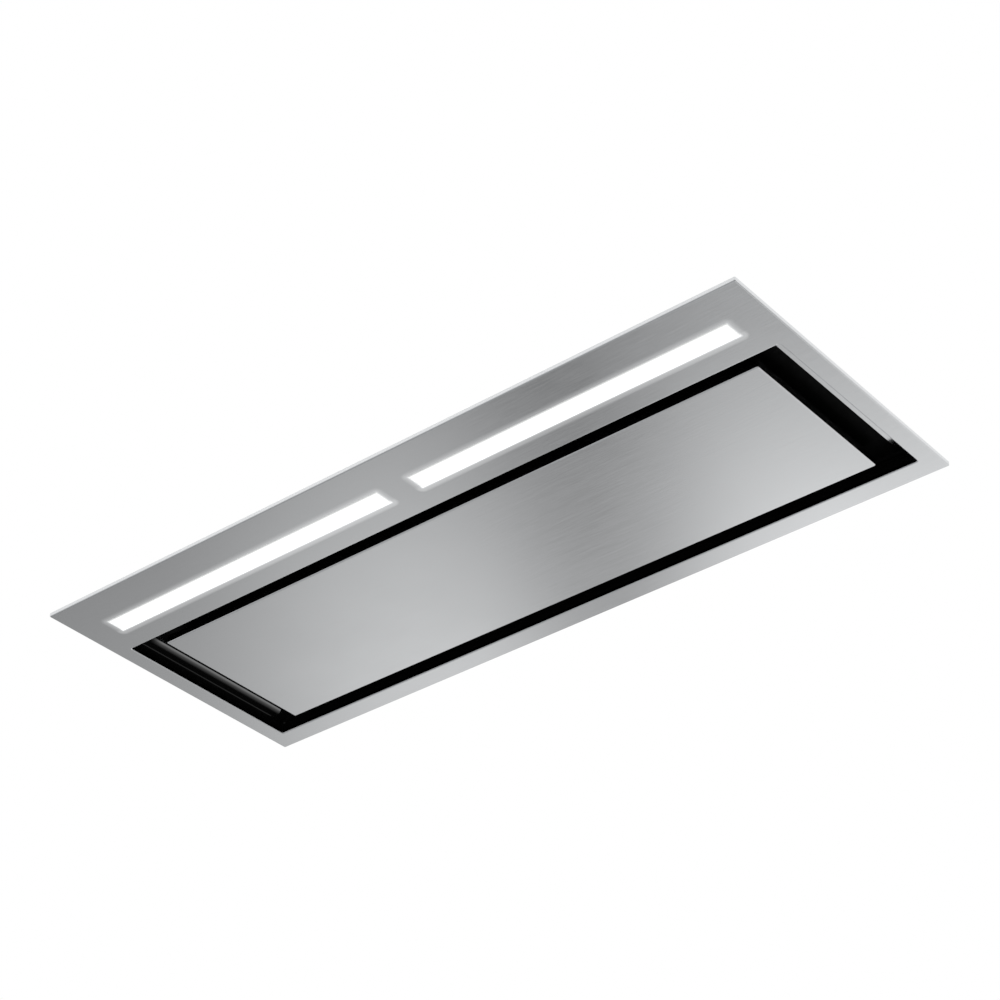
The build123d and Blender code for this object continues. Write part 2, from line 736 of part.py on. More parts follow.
# Motor housing: folded steel box over the fan opening, with a screwed flange
housing_length_out = 2 * housing_half_length
housing_depth_out = 2 * housing_half_depth
duct_bore = duct_radius - collar_wall
collar_screw_radius = duct_radius + collar_flange / 2
flange_screw_x = housing_half_length + housing_flange / 2
flange_screw_y = housing_half_depth + housing_flange / 2
motor_cable_y = 2 * post_radius + junction_wall + capacitor_radius - junction_width / 2
motor_cable_z = plenum_height + junction_wall + capacitor_radius
with BuildPart() as motor_housing:
    with BuildSketch(Plane.XY.offset(plenum_height)):
        RectangleRounded(housing_length_out, housing_depth_out, housing_fold)
    extrude(amount=housing_top - plenum_height)
    fillet(motor_housing.faces().sort_by(Axis.Z)[-1].edges(), radius=housing_fold / 2)
    with BuildSketch(Plane.XY.offset(plenum_height)):
        Rectangle(housing_length_out - 2 * housing_sheet, housing_depth_out - 2 * housing_sheet)
    extrude(amount=neck_top - plenum_height, mode=Mode.SUBTRACT)
    with BuildSketch(Plane.XY.offset(plenum_height)):
        Rectangle(housing_length_out + 2 * housing_flange, housing_depth_out + 2 * housing_flange)
        Rectangle(
            housing_length_out - 2 * housing_sheet,
            housing_depth_out - 2 * housing_sheet,
            mode=Mode.SUBTRACT,
        )
        with GridLocations(2 * flange_screw_x, housing_depth_out / 2, 2, 2):
            Circle(small_screw_radius, mode=Mode.SUBTRACT)
        with GridLocations(housing_length_out / 2, 2 * flange_screw_y, 2, 2):
            Circle(small_screw_radius, mode=Mode.SUBTRACT)
    extrude(amount=body_sheet)
    with BuildSketch(Plane.XY.offset(neck_top)):
        Circle(duct_bore)
        with PolarLocations(collar_screw_radius, 4, start_angle=45):
            Circle(small_screw_radius)
    extrude(amount=housing_sheet, mode=Mode.SUBTRACT)
    with BuildSketch(Plane.YZ.offset(-housing_half_length)):
        with Locations((motor_cable_y, motor_cable_z)):
            Circle(grommet_radius)
    extrude(amount=housing_sheet, mode=Mode.SUBTRACT)
motor_housing.part.label = "motor_housing"
export_step(motor_housing.part, "parts/motor_housing.step")

# Scroll halves: moulded, joined at the fan's middle plane, hung by a lip under the housing's top
scroll_half = impeller_half + scroll_side_gap
inlet_radius = impeller_radius - blade_depth
neck_near = fan_y + outlet_radius
neck_far = fan_y
neck_y = (neck_near + neck_far) / 2


def scroll_outline(first_angle, grow):
    with BuildSketch(Plane.YZ) as outline:
        with BuildLine():
            points = []
            for angle in (first_angle, *range(90, 361, volute_step)):
                reach = volute_radius(angle) + grow
                turn = math.radians(angle)
                points.append((fan_y + reach * math.cos(turn), fan_z + reach * math.sin(turn)))
            Spline(*points)
            Polyline(
                points[-1],
                (neck_near + grow, neck_top),
                (neck_far - 2 * grow, neck_top),
                points[0],
            )
        make_face()
    return outline.sketch


for side, place in ((-1, "left"), (1, "right")):
    with BuildPart() as scroll_case:
        outside = scroll_outline(tongue_angle + tongue_turn, scroll_wall)
        extrude(outside, amount=side * (scroll_half + scroll_wall))
        with BuildSketch(Plane.XY.offset(neck_top - scroll_wall)):
            with Locations((side * (scroll_half + scroll_wall + neck_lip) / 2, neck_y)):
                Rectangle(
                    scroll_half + scroll_wall + neck_lip, outlet_radius + 2 * (scroll_wall + neck_lip)
                )
        extrude(amount=scroll_wall)
        extrude(scroll_outline(tongue_angle, 0), amount=side * scroll_half, mode=Mode.SUBTRACT)
        with BuildSketch(Plane.YZ.offset(side * (impeller_half + inlet_gap))):
            with Locations((fan_y, fan_z)):
                Circle(inlet_radius + bell_wall)
                Circle(inlet_radius, mode=Mode.SUBTRACT)
        extrude(amount=side * (scroll_side_gap + scroll_wall - inlet_gap))
        with BuildSketch(Plane.YZ.offset(side * scroll_half)):
            with Locations((fan_y, fan_z)):
                Circle(inlet_radius)
        extrude(amount=side * 2 * scroll_wall, mode=Mode.SUBTRACT)
    scroll_case.part.label = f"scroll_{place}"
    export_step(scroll_case.part, f"parts/scroll_{place}.step")

# Impeller: a disc on its hub at the fan's middle and a ring at each end. The forward-curved
# blades are steel strips, set in notches of the disc, with their ends on the rings.
blade_bend = blade_depth - blade_sheet
blade_centre = (inlet_radius, blade_bend)
blade_half = impeller_half - ring_sheet
with BuildSketch(Plane.YZ) as blade:
    with BuildLine():
        back = CenterArc(blade_centre, blade_bend, -90, blade_turn)
        front = CenterArc(blade_centre, blade_bend - blade_sheet, -90, blade_turn)
        Line(back @ 0, front @ 0)
        Line(back @ 1, front @ 1)
    make_face()
with BuildSketch(Plane.YZ) as notch:
    add(blade.sketch_local)
    offset(amount=blade_clearance)
with BuildPart() as impeller:
    with BuildSketch(Plane.YZ.offset(-disc_sheet / 2)):
        with Locations((fan_y, fan_z)):
            Circle(impeller_radius)
            with PolarLocations(0, blade_count):
                add(notch.sketch_local, mode=Mode.SUBTRACT)
    extrude(amount=disc_sheet)
    for ring_start in (-impeller_half, blade_half):
        with BuildSketch(Plane.YZ.offset(ring_start)):
            with Locations((fan_y, fan_z)):
                Circle(impeller_radius)
                Circle(inlet_radius, mode=Mode.SUBTRACT)
        extrude(amount=ring_sheet)
    with BuildSketch(Plane.YZ.offset(-disc_sheet / 2)):
        with Locations((fan_y, fan_z)):
            Circle(hub_radius)
    extrude(amount=hub_reach)
    with BuildSketch(Plane.YZ.offset(-disc_sheet / 2)):
        with Locations((fan_y, fan_z)):
            Circle(shaft_radius)
    extrude(amount=hub_reach, mode=Mode.SUBTRACT)
impeller.part.label = "impeller"
export_step(impeller.part, "parts/impeller.step")

with BuildPart() as impeller_blades:
    with BuildSketch(Plane.YZ.offset(-blade_half)):
        with Locations((fan_y, fan_z)):
            with PolarLocations(0, blade_count):
                add(blade.sketch_local)
    extrude(amount=2 * blade_half)
impeller_blades.part.label = "impeller_blades"
export_step(impeller_blades.part, "parts/impeller_blades.step")

# Motor in the left half of the impeller, its shaft, and the three-armed bracket that holds it
motor_radius = inlet_radius - motor_gap
motor_end = -disc_sheet / 2 - motor_hub_gap
motor_start = motor_end - motor_length
with BuildPart() as impeller_shaft:
    with BuildSketch(Plane.YZ.offset(motor_start)):
        with Locations((fan_y, fan_z)):
            Circle(shaft_radius)
    extrude(amount=hub_reach - disc_sheet / 2 - motor_start)
impeller_shaft.part.label = "impeller_shaft"
export_step(impeller_shaft.part, "parts/impeller_shaft.step")

with BuildPart() as motor:
    with BuildSketch(Plane.YZ.offset(motor_start)):
        with Locations((fan_y, fan_z)):
            Circle(motor_radius)
    extrude(amount=motor_length - motor_boss_height)
    chamfer(motor.edges().filter_by(GeomType.CIRCLE), length=motor_fold)
    with BuildSketch(Plane.YZ.offset(motor_start - motor_boss_height)):
        with Locations((fan_y, fan_z)):
            Circle(motor_boss_radius)
    extrude(amount=motor_length + motor_boss_height)
    with BuildSketch(Plane.YZ.offset(motor_start - shaft_clearance)):
        with Locations((fan_y, fan_z)):
            Circle(shaft_radius + shaft_clearance)
    extrude(amount=motor_length + shaft_clearance, mode=Mode.SUBTRACT)
motor.part.label = "motor"
export_step(motor.part, "parts/motor.step")

with BuildPart() as motor_bracket:
    bracket_face = -(scroll_half + scroll_wall)
    with BuildSketch(Plane.YZ.offset(bracket_face - arm_thickness)):
        with Locations((fan_y, fan_z)):
            with PolarLocations((motor_radius + inlet_radius + arm_overlap) / 2, arm_count, start_angle=90):
                Rectangle(inlet_radius + arm_overlap - motor_radius, arm_width)
            Circle(motor_radius + band_wall)
            Circle(motor_radius, mode=Mode.SUBTRACT)
    extrude(amount=arm_thickness)
    with BuildSketch(Plane.YZ.offset(bracket_face - arm_thickness)):
        with Locations((fan_y, fan_z)):
            Circle(motor_radius + band_wall)
            Circle(motor_radius, mode=Mode.SUBTRACT)
    extrude(amount=band_length)
motor_bracket.part.label = "motor_bracket"
export_step(motor_bracket.part, "parts/motor_bracket.step")

# Duct collar: moulded, with a seat, a middle bar and bearings for the two flaps
collar_base = housing_top
flap_z = collar_base + flap_axis_height
flap_y = flap_axis_spacing / 2
seat_top = flap_z - flap_sheet / 2 - seat_gap
boss_start = duct_bore - boss_length
bar_width = flap_axis_spacing - 2 * (barrel_radius + bar_gap)
with BuildPart() as duct_collar:
    with BuildSketch(Plane.XY.offset(collar_base)):
        Circle(duct_radius + collar_flange)
        with PolarLocations(collar_screw_radius, 4, start_angle=45):
            Circle(small_screw_radius, mode=Mode.SUBTRACT)
    extrude(amount=collar_flange_height)
    with BuildSketch(Plane.XY.offset(collar_base)):
        Circle(duct_radius)
    extrude(amount=collar_height)
    chamfer(duct_collar.faces().sort_by(Axis.Z)[-1].edges(), length=collar_wall / 2)
    with BuildSketch(Plane.XY.offset(collar_base)):
        Circle(duct_bore)
    extrude(amount=collar_height, mode=Mode.SUBTRACT)
    with BuildSketch(Plane.XY.offset(seat_top - seat_thickness)):
        Circle(duct_radius - collar_wall / 2)
        Circle(duct_bore - seat_width, mode=Mode.SUBTRACT)
        Rectangle(2 * duct_bore, bar_width)
    extrude(amount=seat_thickness)
    with BuildSketch(Plane.XY.offset(seat_top - seat_thickness)):
        Circle(duct_radius - collar_wall / 2)
        Rectangle(2 * boss_start, 2 * duct_radius, mode=Mode.SUBTRACT)
        with Locations((0, duct_radius + boss_half_width), (0, -duct_radius - boss_half_width)):
            Rectangle(2 * duct_radius, 2 * duct_radius, mode=Mode.SUBTRACT)
    extrude(amount=flap_z + boss_roof - seat_top + seat_thickness)
    with BuildSketch(Plane.YZ.offset(-(boss_start + stub_length))):
        with Locations((-flap_y, flap_z), (flap_y, flap_z)):
            Circle(stub_radius + stub_clearance)
    extrude(amount=2 * (boss_start + stub_length), mode=Mode.SUBTRACT)
duct_collar.part.label = "duct_collar"
export_step(duct_collar.part, "parts/duct_collar.step")

barrel_half = boss_start - barrel_end_gap
notch_half = flap_y + math.hypot(boss_half_width - flap_y, boss_roof) + flap_gap
for side, place in ((-1, "front"), (1, "rear")):
    with BuildPart() as flap:
        with BuildSketch(Plane.XY.offset(flap_z - flap_sheet / 2)):
            Circle(duct_bore - flap_gap)
            with Locations((0, side * (flap_y - duct_radius))):
                Rectangle(2 * duct_radius, 2 * duct_radius, mode=Mode.SUBTRACT)
            with Locations((duct_bore, 0), (-duct_bore, 0)):
                Rectangle(2 * (duct_bore - barrel_half), 2 * notch_half, mode=Mode.SUBTRACT)
        extrude(amount=flap_sheet)
        with BuildSketch(Plane.YZ.offset(-barrel_half)):
            with Locations((side * flap_y, flap_z)):
                Circle(barrel_radius)
        extrude(amount=2 * barrel_half)
        stub_half = boss_start + stub_length - barrel_end_gap
        with BuildSketch(Plane.YZ.offset(-stub_half)):
            with Locations((side * flap_y, flap_z)):
                Circle(stub_radius)
        extrude(amount=2 * stub_half)
    flap.part.label = f"flap_{place}"
    export_step(flap.part, f"parts/flap_{place}.step")

# Junction box between the motor housing and the left end of the plenum
junction_near = -(plenum_end - junction_margin)
junction_far = junction_near + junction_length
junction_x = (junction_near + junction_far) / 2
junction_top = plenum_height + junction_height
junction_floor = plenum_height + junction_wall
post_x = junction_length / 2 - junction_wall - post_radius
post_y = junction_width / 2 - junction_wall - post_radius
gland_z = plenum_height + gland_height
feed_z = plenum_height + feed_height
with BuildPart() as junction_box:
    with BuildSketch(Plane.XY.offset(plenum_height)):
        with Locations((junction_x, 0)):
            RectangleRounded(junction_length, junction_width, side_radius)
    extrude(amount=junction_height)
    with BuildSketch(Plane.XY.offset(junction_floor)):
        with Locations((junction_x, 0)):
            Rectangle(junction_length - 2 * junction_wall, junction_width - 2 * junction_wall)
    extrude(amount=junction_height - junction_wall, mode=Mode.SUBTRACT)
    with BuildSketch(Plane.XY.offset(junction_floor)):
        with Locations((junction_x, 0)):
            with GridLocations(2 * post_x, 2 * post_y, 2, 2):
                Rectangle(2 * post_radius, 2 * post_radius)
    extrude(amount=junction_height - junction_wall)
    with BuildSketch(Plane.XY.offset(junction_top - small_screw_length)):
        with Locations((junction_x, 0)):
            with GridLocations(2 * post_x, 2 * post_y, 2, 2):
                Circle(small_screw_radius)
    extrude(amount=small_screw_length, mode=Mode.SUBTRACT)
    with BuildSketch(Plane.YZ.offset(junction_near)):
        with Locations((0, gland_z)):
            Circle(gland_radius)
    extrude(amount=junction_wall, mode=Mode.SUBTRACT)
    with BuildSketch(Plane.YZ.offset(junction_far - junction_wall)):
        with Locations((motor_cable_y, motor_cable_z)):
            Circle(cable_radius)
    extrude(amount=junction_wall, mode=Mode.SUBTRACT)
    with BuildSketch(Plane.XZ.offset(junction_width / 2 - junction_wall)):
        with Locations((feed_x, feed_z)):
            Circle(cable_radius)
    extrude(amount=junction_wall, mode=Mode.SUBTRACT)
junction_box.part.label = "junction_box"
export_step(junction_box.part, "parts/junction_box.step")

with BuildPart() as junction_lid:
    with BuildSketch(Plane.XY.offset(junction_top)):
        with Locations((junction_x, 0)):
            RectangleRounded(junction_length, junction_width, side_radius)
            with GridLocations(2 * post_x, 2 * post_y, 2, 2):
                Circle(small_screw_radius, mode=Mode.SUBTRACT)
    extrude(amount=lid_sheet)
    lip_margin = 2 * (junction_wall + 2 * post_radius + lid_clearance)
    with BuildSketch(Plane.XY.offset(junction_top - lid_lip)):
        with Locations((junction_x, 0)):
            Rectangle(junction_length - lip_margin, junction_width - 2 * (junction_wall + lid_clearance))
            Rectangle(
                junction_length - lip_margin - 2 * lid_sheet,
                junction_width - 2 * (junction_wall + lid_clearance + lid_sheet),
                mode=Mode.SUBTRACT,
            )
    extrude(amount=lid_lip)
junction_lid.part.label = "junction_lid"
export_step(junction_lid.part, "parts/junction_lid.step")

# Control board on four standoffs, with its relays in a row
board_length = junction_length - 2 * (junction_wall + post_radius + board_margin)
board_width = junction_width / 2 - 2 * board_margin
board_y = (junction_width - board_width) / 2 - junction_wall - board_margin
board_floor = junction_floor + standoff_height
with BuildPart() as control_board:
    with BuildSketch(Plane.XY.offset(board_floor)):
        with Locations((junction_x, board_y)):
            Rectangle(board_length, board_width)
    extrude(amount=board_sheet)
    with BuildSketch(Plane.XY.offset(junction_floor)):
        with Locations((junction_x, board_y)):
            with GridLocations(board_length - 4 * post_radius, board_width - 4 * post_radius, 2, 2):
                Circle(standoff_radius)
    extrude(amount=standoff_height)
    with BuildSketch(Plane.XY.offset(board_floor + board_sheet)):
        with Locations((junction_x, board_y)):
            with GridLocations(board_length / 4, 0, 4, 1):
                Rectangle(relay_size, 2 * relay_size)
    extrude(amount=relay_height)
control_board.part.label = "control_board"
export_step(control_board.part, "parts/control_board.step")

# Terminal block for the mains, and the motor's run capacitor beside it
terminal_x = junction_near + junction_wall + board_margin + terminal_length / 2
terminal_y = board_y - (board_width + terminal_width) / 2 - board_margin
way_pitch = terminal_length / terminal_ways
with BuildPart() as terminal_block:
    with BuildSketch(Plane.XY.offset(junction_floor)):
        with Locations((terminal_x, terminal_y)):
            Rectangle(terminal_length, terminal_width)
    extrude(amount=terminal_height)
    with BuildSketch(Plane.XY.offset(junction_floor + terminal_height / 2)):
        with Locations((terminal_x, terminal_y)):
            with GridLocations(way_pitch, 0, terminal_ways, 1):
                Circle(way_pitch / 4)
    extrude(amount=terminal_height / 2, mode=Mode.SUBTRACT)
    with BuildSketch(Plane.XY.offset(junction_floor + terminal_height)):
        with Locations((terminal_x, terminal_y)):
            with GridLocations(way_pitch, 0, terminal_ways - 1, 1):
                Rectangle(terminal_wall, terminal_width)
    extrude(amount=terminal_wall)
terminal_block.part.label = "terminal_block"
export_step(terminal_block.part, "parts/terminal_block.step")

capacitor_end = junction_far - junction_wall - board_margin
with BuildPart() as run_capacitor:
    with BuildSketch(Plane.YZ.offset(capacitor_end - capacitor_length)):
        with Locations((motor_cable_y, motor_cable_z)):
            Circle(capacitor_radius)
    extrude(amount=capacitor_length)
    chamfer(run_capacitor.edges().filter_by(GeomType.CIRCLE), length=capacitor_radius / 10)
run_capacitor.part.label = "run_capacitor"
export_step(run_capacitor.part, "parts/run_capacitor.step")

# Cable gland for the mains lead: a bored stem through the box's end wall, and its nut
with BuildPart() as cable_gland:
    with BuildSketch(Plane.YZ.offset(junction_near - gland_reach)):
        with Locations((0, gland_z)):
            Circle(gland_radius)
    extrude(amount=gland_reach + junction_wall)
    with BuildSketch(Plane.YZ.offset(junction_near - nut_thickness)):
        with Locations((0, gland_z)):
            RegularPolygon(nut_radius, 6)
    extrude(amount=nut_thickness)
    with BuildSketch(Plane.YZ.offset(junction_near - gland_reach)):
        with Locations((0, gland_z)):
            Circle(gland_bore)
    extrude(amount=gland_reach + junction_wall, mode=Mode.SUBTRACT)
    chamfer(
        cable_gland.faces().sort_by(Axis.X)[0].outer_wire().edges(), length=(gland_radius - gland_bore) / 3
    )
cable_gland.part.label = "cable_gland"
export_step(cable_gland.part, "parts/cable_gland.step")

# LED driver, screwed under the plenum's top in the lamp compartment
driver_floor = ceiling - driver_height
with BuildPart() as led_driver:
    with BuildSketch(Plane.XY.offset(driver_floor)):
        with Locations((driver_x, driver_y)):
            Rectangle(driver_length, driver_width)
    extrude(amount=driver_height)
    fillet(led_driver.faces().sort_by(Axis.Z)[0].edges(), radius=side_radius / 2)
    with BuildSketch(Plane.XY.offset(ceiling - driver_sheet)):
        with Locations((driver_x, driver_y)):
            Rectangle(driver_length + 2 * driver_lug, driver_width / 2)
            with GridLocations(driver_length + driver_lug, 0, 2, 1):
                Circle(small_screw_radius, mode=Mode.SUBTRACT)
    extrude(amount=driver_sheet)
led_driver.part.label = "led_driver"
export_step(led_driver.part, "parts/led_driver.step")

# Grommets where the cables pass through sheet steel
grommet_outside = grommet_radius + grommet_lip
with BuildPart() as cable_grommets:
    for plane, middle, sheet in (
        (Plane.YZ.offset(-housing_half_length), (motor_cable_y, motor_cable_z), housing_sheet),
        (Plane.XY.offset(ceiling), (feed_x, driver_y), body_sheet),
    ):
        with BuildSketch(plane.offset(-grommet_flange)):
            with Locations(middle):
                Circle(grommet_outside)
        extrude(amount=grommet_flange)
        with BuildSketch(plane):
            with Locations(middle):
                Circle(grommet_radius)
        extrude(amount=sheet)
        with BuildSketch(plane.offset(sheet)):
            with Locations(middle):
                Circle(grommet_outside)
        extrude(amount=grommet_flange)
        with BuildSketch(plane.offset(-grommet_flange)):
            with Locations(middle):
                Circle(cable_radius)
        extrude(amount=sheet + 2 * grommet_flange, mode=Mode.SUBTRACT)
cable_grommets.part.label = "cable_grommets"
export_step(cable_grommets.part, "parts/cable_grommets.step")

# Motor cable: from the run capacitor through both walls and up to the motor's end
motor_face = motor_start - motor_boss_height
motor_cable_x = (motor_face - housing_half_length) / 2
motor_entry_z = fan_z
with BuildPart() as motor_cable:
    with BuildLine() as motor_run:
        FilletPolyline(
            (capacitor_end, motor_cable_y, motor_cable_z),
            (motor_cable_x, motor_cable_y, motor_cable_z),
            (motor_cable_x, motor_cable_y, motor_entry_z),
            (motor_face, motor_cable_y, motor_entry_z),
            radius=motor_cable_bend,
        )
    with BuildSketch(Plane.YZ.offset(capacitor_end)):
        with Locations((motor_cable_y, motor_cable_z)):
            Circle(cable_radius)
    sweep(path=motor_run.line)
motor_cable.part.label = "motor_cable"
export_step(motor_cable.part, "parts/motor_cable.step")

# Driver cable: from the terminal block over the plenum's top and down to the LED driver
driver_start = driver_x - driver_length / 2
driver_entry_z = driver_floor + cable_entry
terminal_side = terminal_y - terminal_width / 2
with BuildPart() as driver_cable:
    with BuildLine() as driver_run:
        FilletPolyline(
            (feed_x, terminal_side, feed_z),
            (feed_x, driver_y, feed_z),
            (feed_x, driver_y, driver_entry_z),
            (driver_start, driver_y, driver_entry_z),
            radius=cable_bend,
        )
    with BuildSketch(Plane.XZ.offset(-terminal_side)):
        with Locations((feed_x, feed_z)):
            Circle(cable_radius)
    sweep(path=driver_run.line)
driver_cable.part.label = "driver_cable"
export_step(driver_cable.part, "parts/driver_cable.step")

# Lamp cables: from the LED driver to the top of each lamp housing, down between its fins
driver_end = driver_x + driver_length / 2
fin_pitch = (housing_width - fin_width) / (fin_count - 1)
with BuildPart() as lamp_cables:
    for row, drop_x in ((-1, driver_end), (1, window_x - window_length / 2)):
        cable_y = window_y + row * fin_pitch / 2
        with BuildLine() as lamp_run:
            FilletPolyline(
                (driver_end, cable_y, driver_entry_z),
                (drop_x + lamp_cable_run, cable_y, driver_entry_z),
                (drop_x + lamp_cable_run, cable_y, lamp_top),
                radius=cable_bend,
            )
        with BuildSketch(Plane.YZ.offset(driver_end)):
            with Locations((cable_y, driver_entry_z)):
                Circle(cable_radius)
        sweep(path=lamp_run.line)
lamp_cables.part.label = "lamp_cables"
export_step(lamp_cables.part, "parts/lamp_cables.step")

# Clamp brackets: steel angles on the body's ends whose feet grip the cabinet's board from above
clamp_foot = end_overhang - clamp_edge_gap
for side, end in ((-1, "left"), (1, "right")):
    for row, place in ((-1, "front"), (1, "rear")):
        clamp_y = row * bracket_spacing / 2
        with BuildPart() as clamp_bracket:
            with BuildSketch(Plane.XZ.offset(-(clamp_y + clamp_width / 2))):
                with BuildLine():
                    Polyline(
                        (side * plenum_end, clamp_top),
                        (side * (plenum_end + clamp_foot), clamp_top),
                        (side * (plenum_end + clamp_foot), clamp_top + clamp_sheet),
                        (side * (plenum_end + clamp_sheet), clamp_top + clamp_sheet),
                        (side * (plenum_end + clamp_sheet), clamp_top + clamp_height),
                        (side * plenum_end, clamp_top + clamp_height),
                        close=True,
                    )
                make_face()
            extrude(amount=clamp_width)
            with BuildSketch(Plane.YZ.offset(side * plenum_end)):
                with Locations((clamp_y, screw_z)):
                    SlotOverall(clamp_slot_length, 2 * screw_radius, rotation=90)
            extrude(amount=side * clamp_sheet, mode=Mode.SUBTRACT)
            fold = clamp_bracket.edges().filter_by(Axis.Y).sort_by(SortBy.DISTANCE)[0]
            fillet(fold, radius=clamp_sheet / 2)
        clamp_bracket.part.label = f"clamp_bracket_{end}_{place}"
        export_step(clamp_bracket.part, f"parts/clamp_bracket_{end}_{place}.step")

with BuildPart() as clamp_screws:
    for side in (-1, 1):
        head_start = side * (plenum_end + clamp_sheet)
        with BuildSketch(Plane.YZ.offset(head_start)):
            with Locations((0, screw_z)):
                with GridLocations(bracket_spacing, 0, 2, 1):
                    Circle(head_radius)
        extrude(amount=side * head_height)
        with BuildSketch(Plane.YZ.offset(head_start)):
            with Locations((0, screw_z)):
                with GridLocations(bracket_spacing, 0, 2, 1):
                    Circle(screw_radius)
        extrude(amount=-side * screw_length)
clamp_screws.part.label = "clamp_screws"
export_step(clamp_screws.part, "parts/clamp_screws.step")

# Screws of the motor housing, the duct collar and the junction box lid
with BuildPart() as housing_screws:
    for shank, start, length in (
        (small_head_radius, plenum_height + body_sheet, small_head_height),
        (small_screw_radius, plenum_height, body_sheet),
    ):
        with BuildSketch(Plane.XY.offset(start)):
            with GridLocations(2 * flange_screw_x, housing_depth_out / 2, 2, 2):
                Circle(shank)
            with GridLocations(housing_length_out / 2, 2 * flange_screw_y, 2, 2):
                Circle(shank)
        extrude(amount=length)
housing_screws.part.label = "housing_screws"
export_step(housing_screws.part, "parts/housing_screws.step")

with BuildPart() as collar_screws:
    flange_face = collar_base + collar_flange_height
    for shank, start, length in (
        (small_head_radius, flange_face, small_head_height),
        (small_screw_radius, neck_top, flange_face - neck_top),
    ):
        with BuildSketch(Plane.XY.offset(start)):
            with PolarLocations(collar_screw_radius, 4, start_angle=45):
                Circle(shank)
        extrude(amount=length)
collar_screws.part.label = "collar_screws"
export_step(collar_screws.part, "parts/collar_screws.step")

with BuildPart() as lid_screws:
    lid_face = junction_top + lid_sheet
    for shank, start, length in (
        (small_head_radius, lid_face, small_head_height),
        (small_screw_radius, junction_top - small_screw_length, lid_sheet + small_screw_length),
    ):
        with BuildSketch(Plane.XY.offset(start)):
            with Locations((junction_x, 0)):
                with GridLocations(2 * post_x, 2 * post_y, 2, 2):
                    Circle(shank)
        extrude(amount=length)
lid_screws.part.label = "lid_screws"
export_step(lid_screws.part, "parts/lid_screws.step")
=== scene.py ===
import math

import bmesh
import bpy
from mathutils import Matrix, Vector


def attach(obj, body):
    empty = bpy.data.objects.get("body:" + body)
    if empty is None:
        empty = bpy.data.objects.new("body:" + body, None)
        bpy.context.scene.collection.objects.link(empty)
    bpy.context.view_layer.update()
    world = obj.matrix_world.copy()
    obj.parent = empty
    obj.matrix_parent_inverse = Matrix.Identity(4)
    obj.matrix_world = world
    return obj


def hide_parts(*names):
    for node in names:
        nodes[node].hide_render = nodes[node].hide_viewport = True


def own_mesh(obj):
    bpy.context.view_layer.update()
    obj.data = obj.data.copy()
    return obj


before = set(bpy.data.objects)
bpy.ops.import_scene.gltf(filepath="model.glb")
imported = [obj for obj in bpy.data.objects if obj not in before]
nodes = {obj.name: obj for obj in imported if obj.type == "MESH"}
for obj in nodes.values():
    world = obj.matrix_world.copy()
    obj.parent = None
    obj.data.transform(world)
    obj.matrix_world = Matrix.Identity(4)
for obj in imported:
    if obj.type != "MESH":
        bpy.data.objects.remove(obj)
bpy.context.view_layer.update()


# Camera: it stands below the hood and to its right, and looks up at the lamps' side. Its place
# and its lens come from the four corners of the face frame in the photograph.
camera_data = bpy.data.cameras.new("camera")
camera_data.lens = 92.9
camera_data.clip_end = 60.0
camera = bpy.data.objects.new("camera", camera_data)
bpy.context.scene.collection.objects.link(camera)
camera.matrix_world = Matrix((
    (0.7762, 0.3604, 0.5173, 1.3526),
    (0.6305, -0.4406, -0.639, -1.6398),
    (-0.0024, 0.8222, -0.5692, -1.4179),
    (0.0, 0.0, 0.0, 1.0),
))
bpy.context.scene.camera = camera
bpy.context.scene.view_settings.view_transform = "Standard"


# Cabinet board: the white underside of the cabinet, which the frame's folded edge is let into a
# little. It shows only from below, so the steel body behind it can be seen from above.
board_reach = 4.0
board_level = 0.0042
cut_out_half = (0.4296, 0.1776)


def link_mesh(name, mesh_source):
    bmesh.ops.recalc_face_normals(mesh_source, faces=mesh_source.faces)
    mesh = bpy.data.meshes.new(name)
    mesh_source.to_mesh(mesh)
    mesh_source.free()
    piece = bpy.data.objects.new(name, mesh)
    bpy.context.scene.collection.objects.link(piece)
    return piece


def new_material(name):
    material = bpy.data.materials.new(name)
    material.use_nodes = True
    tree = material.node_tree
    tree.nodes.clear()
    output = tree.nodes.new("ShaderNodeOutputMaterial")
    return material, tree, output


def maths(tree, operation, first, second=None):
    node = tree.nodes.new("ShaderNodeMath")
    node.operation = operation
    for socket, value in zip(node.inputs, (first, second)):
        if value is None:
            continue
        if isinstance(value, (int, float)):
            socket.default_value = value
        else:
            tree.links.new(value, socket)
    return node.outputs["Value"]


def pick_shader(tree, factor, first, second):
    pick = tree.nodes.new("ShaderNodeMixShader")
    tree.links.new(factor, pick.inputs["Fac"])
    tree.links.new(first.outputs[0], pick.inputs[1])
    tree.links.new(second.outputs[0], pick.inputs[2])
    return pick


board_mesh = bmesh.new()
corners = [board_mesh.verts.new((x * cut_out_half[0], y * cut_out_half[1], board_level))
           for x, y in ((-1, -1), (1, -1), (1, 1), (-1, 1))]
cut_edges = [board_mesh.edges.new((corners[i], corners[(i + 1) % 4])) for i in range(4)]
grown = bmesh.ops.extrude_edge_only(board_mesh, edges=cut_edges)
for vert in (part for part in grown["geom"] if isinstance(part, bmesh.types.BMVert)):
    vert.co.x = math.copysign(board_reach, vert.co.x)
    vert.co.y = math.copysign(board_reach, vert.co.y)
board = link_mesh("cabinet_board", board_mesh)
board_down = board.data.polygons[0].normal.z < 0.0

